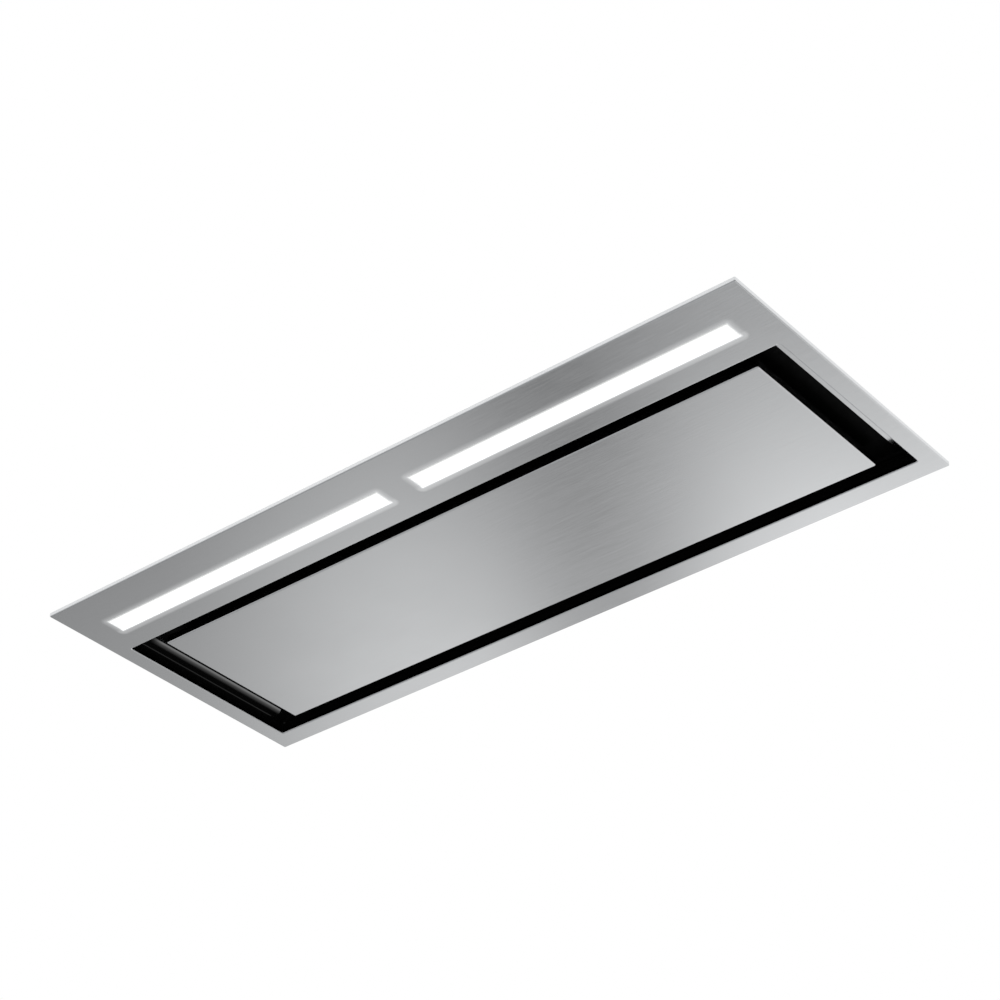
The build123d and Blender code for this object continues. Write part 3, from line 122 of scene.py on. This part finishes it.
board_white, tree, output = new_material("cabinet_white")
path = tree.nodes.new("ShaderNodeLightPath")
side = tree.nodes.new("ShaderNodeNewGeometry")
white = tree.nodes.new("ShaderNodeEmission")
clear = tree.nodes.new("ShaderNodeBsdfTransparent")
seen = maths(tree, "MAXIMUM", path.outputs["Is Camera Ray"], path.outputs["Is Glossy Ray"])
from_below = side.outputs["Backfacing"]
if board_down:
    from_below = maths(tree, "SUBTRACT", 1.0, from_below)
shown = maths(tree, "MULTIPLY", seen, from_below)
tree.links.new(pick_shader(tree, shown, clear, white).outputs["Shader"], output.inputs["Surface"])
board.data.materials.append(board_white)


# Room: a pale floor far below, a white surround, and an even studio light. What the brushed
# steel mirrors is a row of soft upright light and dark fields, brighter near the horizon.
floor_reach = 15.0
floor_level = -3.6
floor_mesh = bmesh.new()
bmesh.ops.create_grid(floor_mesh, x_segments=1, y_segments=1, size=floor_reach)
bmesh.ops.translate(floor_mesh, verts=floor_mesh.verts, vec=(0.0, 0.0, floor_level))
floor = link_mesh("floor", floor_mesh)
floor_pale, tree, output = new_material("floor_pale")
path = tree.nodes.new("ShaderNodeLightPath")
paint = tree.nodes.new("ShaderNodeBsdfDiffuse")
paint.inputs["Color"].default_value = (0.8, 0.8, 0.8, 1.0)
white = tree.nodes.new("ShaderNodeEmission")
clear = tree.nodes.new("ShaderNodeBsdfTransparent")
lit = pick_shader(tree, path.outputs["Is Camera Ray"], paint, white)
unmirrored = pick_shader(tree, path.outputs["Is Glossy Ray"], lit, clear)
tree.links.new(unmirrored.outputs["Shader"], output.inputs["Surface"])
floor.data.materials.append(floor_pale)

world = bpy.data.worlds.new("studio")
bpy.context.scene.world = world
world.use_nodes = True
tree = world.node_tree
tree.nodes.clear()
direction = tree.nodes.new("ShaderNodeTexCoord")
split = tree.nodes.new("ShaderNodeSeparateXYZ")
tree.links.new(direction.outputs["Generated"], split.inputs["Vector"])
west = maths(tree, "MULTIPLY", split.outputs["X"], -1.0)
turn = maths(tree, "DEGREES", maths(tree, "ARCTAN2", west, split.outputs["Y"]))
below = maths(tree, "MULTIPLY", split.outputs["Z"], -1.0)
depth = maths(tree, "DEGREES", maths(tree, "ARCSINE", below))


def grey_ramp(tree, factor, stops):
    ramp = tree.nodes.new("ShaderNodeValToRGB")
    while len(ramp.color_ramp.elements) < len(stops):
        ramp.color_ramp.elements.new(0.5)
    for element, (place, level) in zip(ramp.color_ramp.elements, stops):
        element.position = place
        element.color = (level, level, level, 1.0)
    tree.links.new(factor, ramp.inputs["Fac"])
    return ramp.outputs["Color"]


def fade(tree, value, start, end):
    step = tree.nodes.new("ShaderNodeMapRange")
    step.interpolation_type = "SMOOTHSTEP"
    step.inputs["From Min"].default_value = start
    step.inputs["From Max"].default_value = end
    tree.links.new(value, step.inputs["Value"])
    return step.outputs["Result"]


def spread(tree, value, low, high, from_low=0.3, from_high=0.7):
    remap = tree.nodes.new("ShaderNodeMapRange")
    remap.inputs["From Min"].default_value = from_low
    remap.inputs["From Max"].default_value = from_high
    remap.inputs["To Min"].default_value = low
    remap.inputs["To Max"].default_value = high
    tree.links.new(value, remap.inputs["Value"])
    return remap.outputs["Result"]


def product(tree, *values):
    total = values[0]
    for value in values[1:]:
        total = maths(tree, "MULTIPLY", total, value)
    return total


def mix_colours(tree, factor, first, second, blend="MIX"):
    mix = tree.nodes.new("ShaderNodeMix")
    mix.data_type = "RGBA"
    mix.blend_type = blend
    for index, value in ((0, factor), (6, first), (7, second)):
        if isinstance(value, tuple):
            mix.inputs[index].default_value = (*value, 1.0)
        elif isinstance(value, float):
            mix.inputs[index].default_value = value
        else:
            tree.links.new(value, mix.inputs[index])
    return mix.outputs[2]


# Turns and depths are in degrees: a turn goes round from the hood's far side towards its left,
# and a depth is below the horizon. All of these are set for the photograph's view.
field_turns = (16.0, 76.0)
field_depths = (28.0, 42.0)
lean_depth = 35.0
lean_slope = 0.3
steep_depths = (39.5, 43.0)
bank_turn = 10.0
bank_slope = 0.53
bank_depths = (48.0, 45.0)
bank_levels = (0.25, 0.55)
beside_turns = (26.5, 20.0)
patch_depths = (64.0, 52.0)
patch_start = (-2.0, 18.0)
patch_end = (48.0, 40.0)
patch_level = 0.2
horizon_drop = 0.05

lean = maths(tree, "MULTIPLY", maths(tree, "SUBTRACT", depth, lean_depth), lean_slope)
upright = spread(tree, maths(tree, "SUBTRACT", turn, lean), 0.0, 1.0, *field_turns)
fields = grey_ramp(tree, upright, (
    (0, 0.5), (0.08, 0.55), (0.15, 0.95), (0.2, 0.83), (0.235, 0.9), (0.275, 0.83), (0.335, 0.33),
    (0.355, 0.28), (0.4, 0.57), (0.43, 0.62), (0.47, 0.53), (0.535, 0.3), (0.66, 0.22), (0.77, 0.5),
))
rise = grey_ramp(tree, spread(tree, depth, 0.0, 1.0, *field_depths), (
    (0.0, 0.86), (0.14, 1.0), (0.29, 0.87), (0.43, 0.68), (0.86, 0.2), (1.0, 0.16),
))
mirrored = mix_colours(tree, 1.0, fields, rise, "MULTIPLY")

steep = fade(tree, depth, *steep_depths)
low_wall = mix_colours(tree, steep, mirrored, (0.25, 0.255, 0.26))
past_turn = maths(tree, "MINIMUM", maths(tree, "ADD", turn, bank_turn), 0.0)
bank = maths(tree, "SUBTRACT", depth, maths(tree, "MULTIPLY", past_turn, bank_slope))
bank_light = spread(tree, fade(tree, bank, *bank_depths), *bank_levels, 0.0, 1.0)
beside_frame = mix_colours(tree, fade(tree, turn, *beside_turns), low_wall, bank_light)
low_patch = product(
    tree, steep, fade(tree, depth, *patch_depths), fade(tree, turn, *patch_start),
    fade(tree, turn, *patch_end), patch_level,
)
with_patch = mix_colours(tree, 1.0, beside_frame, low_patch, "ADD")
under_horizon = maths(tree, "GREATER_THAN", below, horizon_drop)
surround = mix_colours(tree, under_horizon, (0.5, 0.515, 0.53), with_patch)

path = tree.nodes.new("ShaderNodeLightPath")
even = tree.nodes.new("ShaderNodeBackground")
even.inputs["Color"].default_value = (0.9, 0.92, 0.94, 1.0)
even.inputs["Strength"].default_value = 0.6
gloss = tree.nodes.new("ShaderNodeBackground")
gloss.inputs["Strength"].default_value = 1.65
tree.links.new(surround, gloss.inputs["Color"])
plain = tree.nodes.new("ShaderNodeBackground")
plain.inputs["Color"].default_value = (1.0, 1.0, 1.0, 1.0)
output = tree.nodes.new("ShaderNodeOutputWorld")
unseen = pick_shader(tree, path.outputs["Is Glossy Ray"], even, gloss)
studio = pick_shader(tree, path.outputs["Is Camera Ray"], unseen, plain)
tree.links.new(studio.outputs["Shader"], output.inputs["Surface"])

for name, place, aim, width, breadth, watts in (
    ("key_above", (-2.2, -2.6, 2.4), (0.0, 0.0, 0.15), 2.4, 1.8, 60.0),
    ("fill_above", (2.6, 1.8, 2.0), (0.0, 0.0, 0.15), 2.0, 2.0, 26.0),
    ("fill_below", (-1.2, -2.2, -1.7), (0.0, 0.0, 0.0), 2.0, 1.2, 14.0),
):
    lamp_data = bpy.data.lights.new(name, "AREA")
    lamp_data.shape = "RECTANGLE"
    lamp_data.size = width
    lamp_data.size_y = breadth
    lamp_data.energy = watts
    lamp = bpy.data.objects.new(name, lamp_data)
    lamp.rotation_euler = (Vector(aim) - Vector(place)).to_track_quat("-Z", "Y").to_euler()
    lamp.location = place
    lamp.visible_glossy = name != "fill_below"
    bpy.context.scene.collection.objects.link(lamp)


# Face frame: 1 mm stainless sheet, brushed along its length, with its outer edges and the rim of
# the opening folded up. Its two long windows are punched out for the lamps. Their glow on the steel
# is painted light in its material, with a painted reflection line beside each window on its panel
# side. The inside of the opening's rim is painted shade: its steel colour is turned near black.
window_level = -0.1221
window_half = (0.1849, 0.0109)
window_centre = 0.2049
# Painted shade inside the opening's rim: the height above the face where it starts, its half size and its
# middle.
rim_start = 0.0006
rim_half = (0.4125, 0.117)
rim_middle = 0.0365
# Painted glow round the windows: its falloff, and its strength and reach at the ends, in a soft wide skirt
# and on the panel side.
glow_curve = 1.6
end_strength, end_reach = 0.23, 0.0022
soft_strength, soft_reach = 0.19, 0.0085
panel_strength, panel_reach = 0.66, 0.0042
panel_side_start = 0.006
# Painted reflection line: its strength, and the distances from the window where it starts and ends.
reflection_line_strength = 0.16
reflection_line_start = (0.0022, 0.004)
reflection_line_end = (0.0086, 0.0042)


def shader_for(name, colour, roughness, metallic=0.0):
    material, tree, output = new_material(name)
    shader = tree.nodes.new("ShaderNodeBsdfPrincipled")
    shader.inputs["Base Color"].default_value = (*colour, 1.0)
    shader.inputs["Roughness"].default_value = roughness
    shader.inputs["Metallic"].default_value = metallic
    tree.links.new(shader.outputs["BSDF"], output.inputs["Surface"])
    return material, tree, shader


def object_place(tree, scale=(1.0, 1.0, 1.0)):
    source = tree.nodes.new("ShaderNodeTexCoord")
    mapping = tree.nodes.new("ShaderNodeMapping")
    mapping.inputs["Scale"].default_value = scale
    tree.links.new(source.outputs["Object"], mapping.inputs["Vector"])
    return mapping.outputs["Vector"]


def place_axes(tree):
    split = tree.nodes.new("ShaderNodeSeparateXYZ")
    tree.links.new(object_place(tree), split.inputs["Vector"])
    return split.outputs["X"], split.outputs["Y"], split.outputs["Z"]


def apart(tree, value, middle):
    return maths(tree, "ABSOLUTE", maths(tree, "SUBTRACT", value, middle))


def noise(tree, vector, scale, detail=2.0):
    texture = tree.nodes.new("ShaderNodeTexNoise")
    texture.inputs["Scale"].default_value = scale
    texture.inputs["Detail"].default_value = detail
    tree.links.new(vector, texture.inputs["Vector"])
    return texture.outputs["Fac"]


def raise_by(tree, shader, value, distance, strength=1.0):
    bump = tree.nodes.new("ShaderNodeBump")
    bump.inputs["Strength"].default_value = strength
    bump.inputs["Distance"].default_value = distance
    tree.links.new(value, bump.inputs["Height"])
    tree.links.new(bump.outputs["Normal"], shader.inputs["Normal"])


def give(material, *names):
    for name in names:
        slots = nodes[name].data.materials
        for index in range(len(slots)):
            slots[index] = material
        if not slots:
            slots.append(material)


def brushed_group():
    group = bpy.data.node_groups.new("brushing", "ShaderNodeTree")
    group.interface.new_socket("Vector", in_out="INPUT", socket_type="NodeSocketVector")
    group.interface.new_socket("Fineness", in_out="INPUT", socket_type="NodeSocketFloat")
    group.interface.new_socket("Grain", in_out="OUTPUT", socket_type="NodeSocketFloat")
    group.interface.new_socket("Cloud", in_out="OUTPUT", socket_type="NodeSocketFloat")
    start = group.nodes.new("NodeGroupInput")
    end = group.nodes.new("NodeGroupOutput")
    long_grain = group.nodes.new("ShaderNodeVectorMath")
    long_grain.operation = "MULTIPLY"
    long_grain.inputs[1].default_value = (0.03, 1.0, 1.0)
    group.links.new(start.outputs["Vector"], long_grain.inputs[0])
    lines = group.nodes.new("ShaderNodeTexNoise")
    lines.inputs["Detail"].default_value = 5.0
    lines.inputs["Roughness"].default_value = 0.65
    group.links.new(long_grain.outputs["Vector"], lines.inputs["Vector"])
    group.links.new(start.outputs["Fineness"], lines.inputs["Scale"])
    cloud = group.nodes.new("ShaderNodeTexNoise")
    cloud.inputs["Scale"].default_value = 9.0
    cloud.inputs["Detail"].default_value = 4.0
    group.links.new(start.outputs["Vector"], cloud.inputs["Vector"])
    group.links.new(lines.outputs["Fac"], end.inputs["Grain"])
    group.links.new(cloud.outputs["Fac"], end.inputs["Cloud"])
    return group


brushing = brushed_group()


def brushed_metal(name, dark, light, roughness, fineness, bump):
    material, tree, shader = shader_for(name, light, roughness[0], 1.0)
    effect = tree.nodes.new("ShaderNodeGroup")
    effect.node_tree = brushing
    effect.inputs["Fineness"].default_value = fineness
    tree.links.new(object_place(tree), effect.inputs["Vector"])
    grain = spread(tree, effect.outputs["Grain"], 0.0, 1.0)
    tree.links.new(mix_colours(tree, grain, dark, light), shader.inputs["Base Color"])
    both = maths(tree, "ADD", maths(tree, "MULTIPLY", effect.outputs["Grain"], 0.7),
                 maths(tree, "MULTIPLY", effect.outputs["Cloud"], 0.3))
    tree.links.new(spread(tree, both, *roughness), shader.inputs["Roughness"])
    raise_by(tree, shader, effect.outputs["Grain"], bump)
    return material


stainless = brushed_metal(
    "stainless_frame", (0.663, 0.673, 0.683), (0.695, 0.705, 0.715), (0.11, 0.17), 900.0, 0.000005
)
tree = stainless.node_tree
shader = tree.nodes["Principled BSDF"]
x, y, z = place_axes(tree)
along = apart(tree, maths(tree, "ABSOLUTE", x), window_centre)
past_end = maths(tree, "MAXIMUM", maths(tree, "SUBTRACT", along, window_half[0]), 0.0)
across = apart(tree, y, window_level)
past_side = maths(tree, "MAXIMUM", maths(tree, "SUBTRACT", across, window_half[1]), 0.0)
away = maths(tree, "SQRT", maths(tree, "ADD", maths(tree, "POWER", past_end, 2.0),
                                 maths(tree, "POWER", past_side, 2.0)))


def glow(tree, distance, strength, reach):
    falling = spread(tree, distance, 1.0, 0.0, 0.0, reach)
    return maths(tree, "MULTIPLY", maths(tree, "POWER", falling, glow_curve), strength)


# Painted glow: the lamps' light on the steel round each window, laid in as emission.
soft_glow = product(tree, fade(tree, away, soft_reach, 0.0), soft_strength)
round_ends = maths(tree, "ADD", glow(tree, away, end_strength, end_reach), soft_glow)
# Painted reflection line: a faint band of light a few millimetres out from each window on its panel side.
painted_reflection_line = product(tree, fade(tree, away, *reflection_line_start), fade(tree, away, *reflection_line_end), reflection_line_strength)
by_panel = maths(tree, "ADD", glow(tree, away, panel_strength, panel_reach), painted_reflection_line)
panel_side = fade(tree, y, window_level + panel_side_start, window_level + window_half[1])
stronger = maths(tree, "SUBTRACT", by_panel, round_ends)
halo = maths(tree, "ADD", round_ends, product(tree, panel_side, stronger))
halo_colour = mix_colours(tree, halo, (0.0, 0.0, 0.0), (0.98, 0.99, 1.0))
tree.links.new(halo_colour, shader.inputs["Emission Color"])
shader.inputs["Emission Strength"].default_value = 1.0

# Painted shade: inside the opening's rim the steel's colour is turned near black, as if in the recess's
# shadow.
rim_shade_mask = product(
    tree, maths(tree, "GREATER_THAN", z, rim_start),
    maths(tree, "LESS_THAN", maths(tree, "ABSOLUTE", x), rim_half[0]),
    maths(tree, "LESS_THAN", apart(tree, y, rim_middle), rim_half[1]),
)
steel_colour = shader.inputs["Base Color"].links[0].from_socket
rim_shade_colour = mix_colours(tree, rim_shade_mask, steel_colour, (0.004, 0.004, 0.004))
tree.links.new(rim_shade_colour, shader.inputs["Base Color"])
give(stainless, "face_frame")


# Lamps: an opal acrylic diffuser lies behind each window, under an extruded aluminium trough
# with cooling fins that holds a strip of LEDs on a white board. The diffuser's light is dimmed
# by place along its outer side and at its ends, to match the photograph's view.
lit_side = (-0.1336, -0.1312)
lit_end = (window_half[0] - 0.0018, window_half[0] + 0.0003)


def mottle(tree, shader, scale, low, high, detail=3.0):
    patches = noise(tree, object_place(tree), scale, detail)
    tree.links.new(spread(tree, patches, low, high), shader.inputs["Roughness"])


opal, tree, shader = shader_for("opal_acrylic", (0.93, 0.93, 0.91), 0.35)
shader.inputs["Emission Strength"].default_value = 0.6
x, y, z = place_axes(tree)
along = apart(tree, maths(tree, "ABSOLUTE", x), window_centre)
end_glow = spread(tree, along, 1.0, 0.35, *lit_end)
side_glow = spread(tree, y, 0.0, 1.0, *lit_side)
lit_colour = mix_colours(tree, product(tree, side_glow, end_glow), (0.0, 0.0, 0.0), (1.0, 1.0, 0.985))
tree.links.new(lit_colour, shader.inputs["Emission Color"])
mottle(tree, shader, 60.0, 0.3, 0.42, 2.0)
give(opal, "lamp_diffuser_left", "lamp_diffuser_right")

extruded = brushed_metal(
    "extruded_aluminium", (0.7, 0.71, 0.72), (0.8, 0.81, 0.82), (0.3, 0.42), 500.0, 0.00002
)
give(extruded, "lamp_housing_left", "lamp_housing_right")

solder_mask, tree, shader = shader_for("white_solder_mask", (0.86, 0.86, 0.82), 0.4)
speck = spread(tree, noise(tree, object_place(tree), 400.0, 3.0), 0.0, 1.0)
tree.links.new(mix_colours(tree, speck, (0.8, 0.8, 0.76), (0.88, 0.88, 0.85)), shader.inputs["Base Color"])
give(solder_mask, "led_board_left", "led_board_right")


# Collector tray: the recess behind the opening, drawn steel with a black powder coat that has a
# slight orange peel. Its gloss is laid on by place, at the left end and along one thin line, to
# match the photograph's view, and the rest is matt. Real paint would be alike all over.
gloss_end = -0.38
gloss_rise = (0.0163, 0.0199)
gloss_top = (0.01972, 0.01956)
gloss_near = (-0.064, -0.044)
gloss_far = (0.145, 0.136)
line_level = 0.0126
line_half = 0.0006
line_gloss = 0.12
black_coat, tree, shader = shader_for("gloss_black_coat", (0.002, 0.002, 0.002), 0.4)
shader.inputs["Coat Roughness"].default_value = 0.04
shader.inputs["Specular IOR Level"].default_value = 0.02
shader.inputs["Coat IOR"].default_value = 2.8
x, y, z = place_axes(tree)
left_end = product(
    tree, maths(tree, "LESS_THAN", x, gloss_end), fade(tree, z, *gloss_rise),
    fade(tree, z, *gloss_top), fade(tree, y, *gloss_near), fade(tree, y, *gloss_far),
)
thin_line = spread(tree, apart(tree, z, line_level), line_gloss, 0.0, 0.0, line_half)
tree.links.new(maths(tree, "MAXIMUM", left_end, thin_line), shader.inputs["Coat Weight"])
peel = noise(tree, object_place(tree), 260.0, 2.0)
raise_by(tree, shader, peel, 0.00002, 0.3)
tree.links.new(spread(tree, peel, 0.36, 0.46), shader.inputs["Roughness"])
give(black_coat, "collector_tray")


# Centre panel: a shallow stainless tray, brushed like the frame, with a galvanised back sheet
# let into it. It hangs on two hinges at its far side and is held up by two magnets.
panel_steel = brushed_metal(
    "stainless_panel", (0.663, 0.673, 0.683), (0.695, 0.705, 0.715), (0.11, 0.17), 900.0, 0.000005
)
give(panel_steel, "panel_skin")


# End strips: a narrow stainless strip lies on the recess's floor at each end, where the edge of
# the opening almost hides it. Its corners are rounded in plan.
strip_size = (0.0056, 0.216, 0.0005)
strip_place = (0.3959, 0.034, 0.01965)
strip_corner = 0.0015
end_strips = bmesh.new()
for side in (-1, 1):
    grown = bmesh.ops.create_cube(end_strips, size=1.0)
    bmesh.ops.scale(end_strips, vec=strip_size, verts=grown["verts"])
    bmesh.ops.translate(
        end_strips, vec=(side * strip_place[0], *strip_place[1:]), verts=grown["verts"]
    )
    upright = [edge for edge in end_strips.edges if edge.verts[0] in grown["verts"]
               and abs(edge.verts[0].co.z - edge.verts[1].co.z) > strip_size[2] / 2]
    bmesh.ops.bevel(end_strips, geom=upright, offset=strip_corner, offset_type="OFFSET", segments=4,
                    profile=0.5, affect="EDGES")
strips = link_mesh("end_strips", end_strips)
strips.data.materials.append(panel_steel)
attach(strips, "hood")


# Panel's back, hinges and catches: galvanised sheet with its spangle for the back, the hinges and
# the strike plates, moulded black cases for the magnets, and bright zinc-plated pins.
def spangled_zinc(name, dark, light, scale):
    material, tree, shader = shader_for(name, light, 0.4, 1.0)
    where = object_place(tree)
    crystals = tree.nodes.new("ShaderNodeTexVoronoi")
    crystals.inputs["Scale"].default_value = scale
    tree.links.new(where, crystals.inputs["Vector"])
    facet = tree.nodes.new("ShaderNodeSeparateColor")
    tree.links.new(crystals.outputs["Color"], facet.inputs["Color"])
    cloud = noise(tree, where, 14.0, 4.0)
    mixed = maths(tree, "ADD", maths(tree, "MULTIPLY", facet.outputs["Red"], 0.45),
                  maths(tree, "MULTIPLY", cloud, 0.55))
    shade = spread(tree, mixed, 0.0, 1.0, 0.2, 0.8)
    tree.links.new(mix_colours(tree, shade, dark, light), shader.inputs["Base Color"])
    tree.links.new(spread(tree, facet.outputs["Green"], 0.3, 0.48, 0.0, 1.0), shader.inputs["Roughness"])
    raise_by(tree, shader, cloud, 0.0002, 0.2)
    return material


def moulded_plastic(name, colour):
    material, tree, shader = shader_for(name, colour, 0.5)
    pits = noise(tree, object_place(tree), 1400.0, 2.0)
    raise_by(tree, shader, pits, 0.00004, 0.35)
    mottle(tree, shader, 40.0, 0.44, 0.58)
    return material


zinc_sheet = spangled_zinc("zinc_sheet", (0.5, 0.52, 0.54), (0.66, 0.68, 0.7), 160.0)
give(zinc_sheet, "panel_back", "hinge_clevis_left", "hinge_clevis_right", "hinge_bracket_left",
     "hinge_bracket_right", "strike_plates")

moulded_black = moulded_plastic("moulded_black", (0.022, 0.022, 0.023))
give(moulded_black, "magnet_catch_left", "magnet_catch_right")

bright_zinc, tree, shader = shader_for("bright_zinc", (0.62, 0.63, 0.64), 0.24, 1.0)
mottle(tree, shader, 300.0, 0.18, 0.32)
give(bright_zinc, "hinge_pin_left", "hinge_pin_right", "impeller_shaft")


# Grease filters: a rolled aluminium rim round a pleated pack of expanded mesh. A moulded latch
# with a bent strip spring holds each one in its aperture.
rolled_aluminium = brushed_metal(
    "rolled_aluminium", (0.72, 0.73, 0.74), (0.82, 0.83, 0.84), (0.24, 0.34), 420.0, 0.00002
)
give(rolled_aluminium, "filter_frame_left", "filter_frame_right")

expanded_mesh, tree, shader = shader_for("expanded_mesh", (0.72, 0.73, 0.74), 0.35, 1.0)
strands = tree.nodes.new("ShaderNodeTexVoronoi")
strands.feature = "DISTANCE_TO_EDGE"
strands.inputs["Scale"].default_value = 420.0
strands.inputs["Randomness"].default_value = 0.25
tree.links.new(object_place(tree, (1.0, 0.55, 1.0)), strands.inputs["Vector"])
# Painted shade: the holes between the strands are coloured dark, standing in for the shadow seen through
# them.
hole_shade = spread(tree, strands.outputs["Distance"], 0.0, 1.0, 0.12, 0.22)
tree.links.new(mix_colours(tree, hole_shade, (0.78, 0.79, 0.8), (0.06, 0.06, 0.065)), shader.inputs["Base Color"])
raise_by(tree, shader, maths(tree, "SUBTRACT", 1.0, hole_shade), 0.0004, 0.8)
give(expanded_mesh, "filter_mesh_left", "filter_mesh_right")
give(moulded_black, "filter_latch_left", "filter_latch_right")

spring_steel = brushed_metal(
    "spring_strip", (0.42, 0.43, 0.45), (0.55, 0.56, 0.58), (0.2, 0.32), 1200.0, 0.00001
)
give(spring_steel, "latch_spring_left", "latch_spring_right")
for place, middle in (("left", -0.17), ("right", 0.17)):
    strip_mesh = bmesh.new()
    strip_mesh.from_mesh(nodes[f"latch_spring_{place}"].data)
    bmesh.ops.remove_doubles(strip_mesh, verts=strip_mesh.verts, dist=0.000001)
    strip = link_mesh(f"spring_strip_{place}", strip_mesh)
    strip.data.materials.append(spring_steel)
    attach(strip, "hood")
    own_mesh(strip)
    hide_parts(f"latch_spring_{place}")


# Foam seal: closed-cell black foam on the body's flange, cut from sheet, that the cabinet's board
# presses on.
foam, tree, shader = shader_for("closed_cell_foam", (0.02, 0.02, 0.02), 0.9)
cells = noise(tree, object_place(tree), 900.0, 3.0)
raise_by(tree, shader, cells, 0.0002, 0.7)
cell_shade = spread(tree, cells, 0.0, 1.0)
foam_colour = mix_colours(tree, cell_shade, (0.012, 0.012, 0.012), (0.035, 0.035, 0.036))
tree.links.new(foam_colour, shader.inputs["Base Color"])
give(foam, "frame_seal")


# Body: galvanised sheet steel, folded and spot-welded. The plenum stands on the face frame, a
# wall inside it parts the lamps from the air, and the motor housing is screwed on its top.
zinc_body = spangled_zinc("zinc_body", (0.54, 0.56, 0.58), (0.66, 0.68, 0.7), 130.0)
give(zinc_body, "plenum_shell", "lamp_partition", "motor_housing", "motor_bracket",
     "clamp_bracket_left_front", "clamp_bracket_left_rear", "clamp_bracket_right_front",
     "clamp_bracket_right_rear")


# Blower: a moulded scroll in two halves round a double-inlet impeller of galvanised strip blades
# in a notched disc, turned by a capacitor motor whose black pressed case sits in its left half.
give(moulded_black, "scroll_left", "scroll_right")
fan_zinc = spangled_zinc("fan_zinc", (0.52, 0.54, 0.56), (0.7, 0.72, 0.74), 220.0)
give(fan_zinc, "impeller", "impeller_blades")
motor_paint, tree, shader = shader_for("motor_paint", (0.03, 0.031, 0.034), 0.42, 0.3)
mottle(tree, shader, 300.0, 0.34, 0.5)
give(motor_paint, "motor")


# Duct collar and its two flaps: moulded black polypropylene. The collar is screwed over the fan's
# neck, and the flaps turn on their own stubs in its bearings.
give(moulded_black, "duct_collar", "flap_front", "flap_rear")


# Junction box: grey moulded box and lid with the control board, the terminal block and the
# motor's run capacitor, and a gland for the mains lead in its end wall.
moulded_grey = moulded_plastic("moulded_grey", (0.26, 0.27, 0.28))
give(moulded_grey, "junction_box", "junction_lid")
give(moulded_black, "cable_gland")
circuit_green, tree, shader = shader_for("circuit_green", (0.02, 0.14, 0.06), 0.35)
traces = noise(tree, object_place(tree, (1.0, 3.0, 1.0)), 260.0, 1.0)
track = spread(tree, traces, 0.0, 1.0, 0.48, 0.52)
tree.links.new(mix_colours(tree, track, (0.02, 0.12, 0.05), (0.03, 0.2, 0.09)), shader.inputs["Base Color"])
give(circuit_green, "control_board")
moulded_white, tree, shader = shader_for("moulded_white", (0.78, 0.78, 0.75), 0.38)
mottle(tree, shader, 80.0, 0.32, 0.45)
give(moulded_white, "terminal_block", "run_capacitor", "led_driver")


# Wiring: round black sheathed cables, and rubber grommets where they pass through the sheet
# steel, pushed into their holes.
sheath, tree, shader = shader_for("cable_sheath", (0.02, 0.02, 0.021), 0.45)
mottle(tree, shader, 200.0, 0.38, 0.52)
give(sheath, "motor_cable", "driver_cable", "lamp_cables")
rubber, tree, shader = shader_for("grommet_rubber", (0.015, 0.015, 0.015), 0.7)
mottle(tree, shader, 500.0, 0.62, 0.8)
give(rubber, "cable_grommets")


# Screws: bright zinc-plated steel, in four groups, for the clamps, the housing, the collar and
# the junction box's lid.
give(bright_zinc, "clamp_screws", "housing_screws", "collar_screws", "lid_screws")
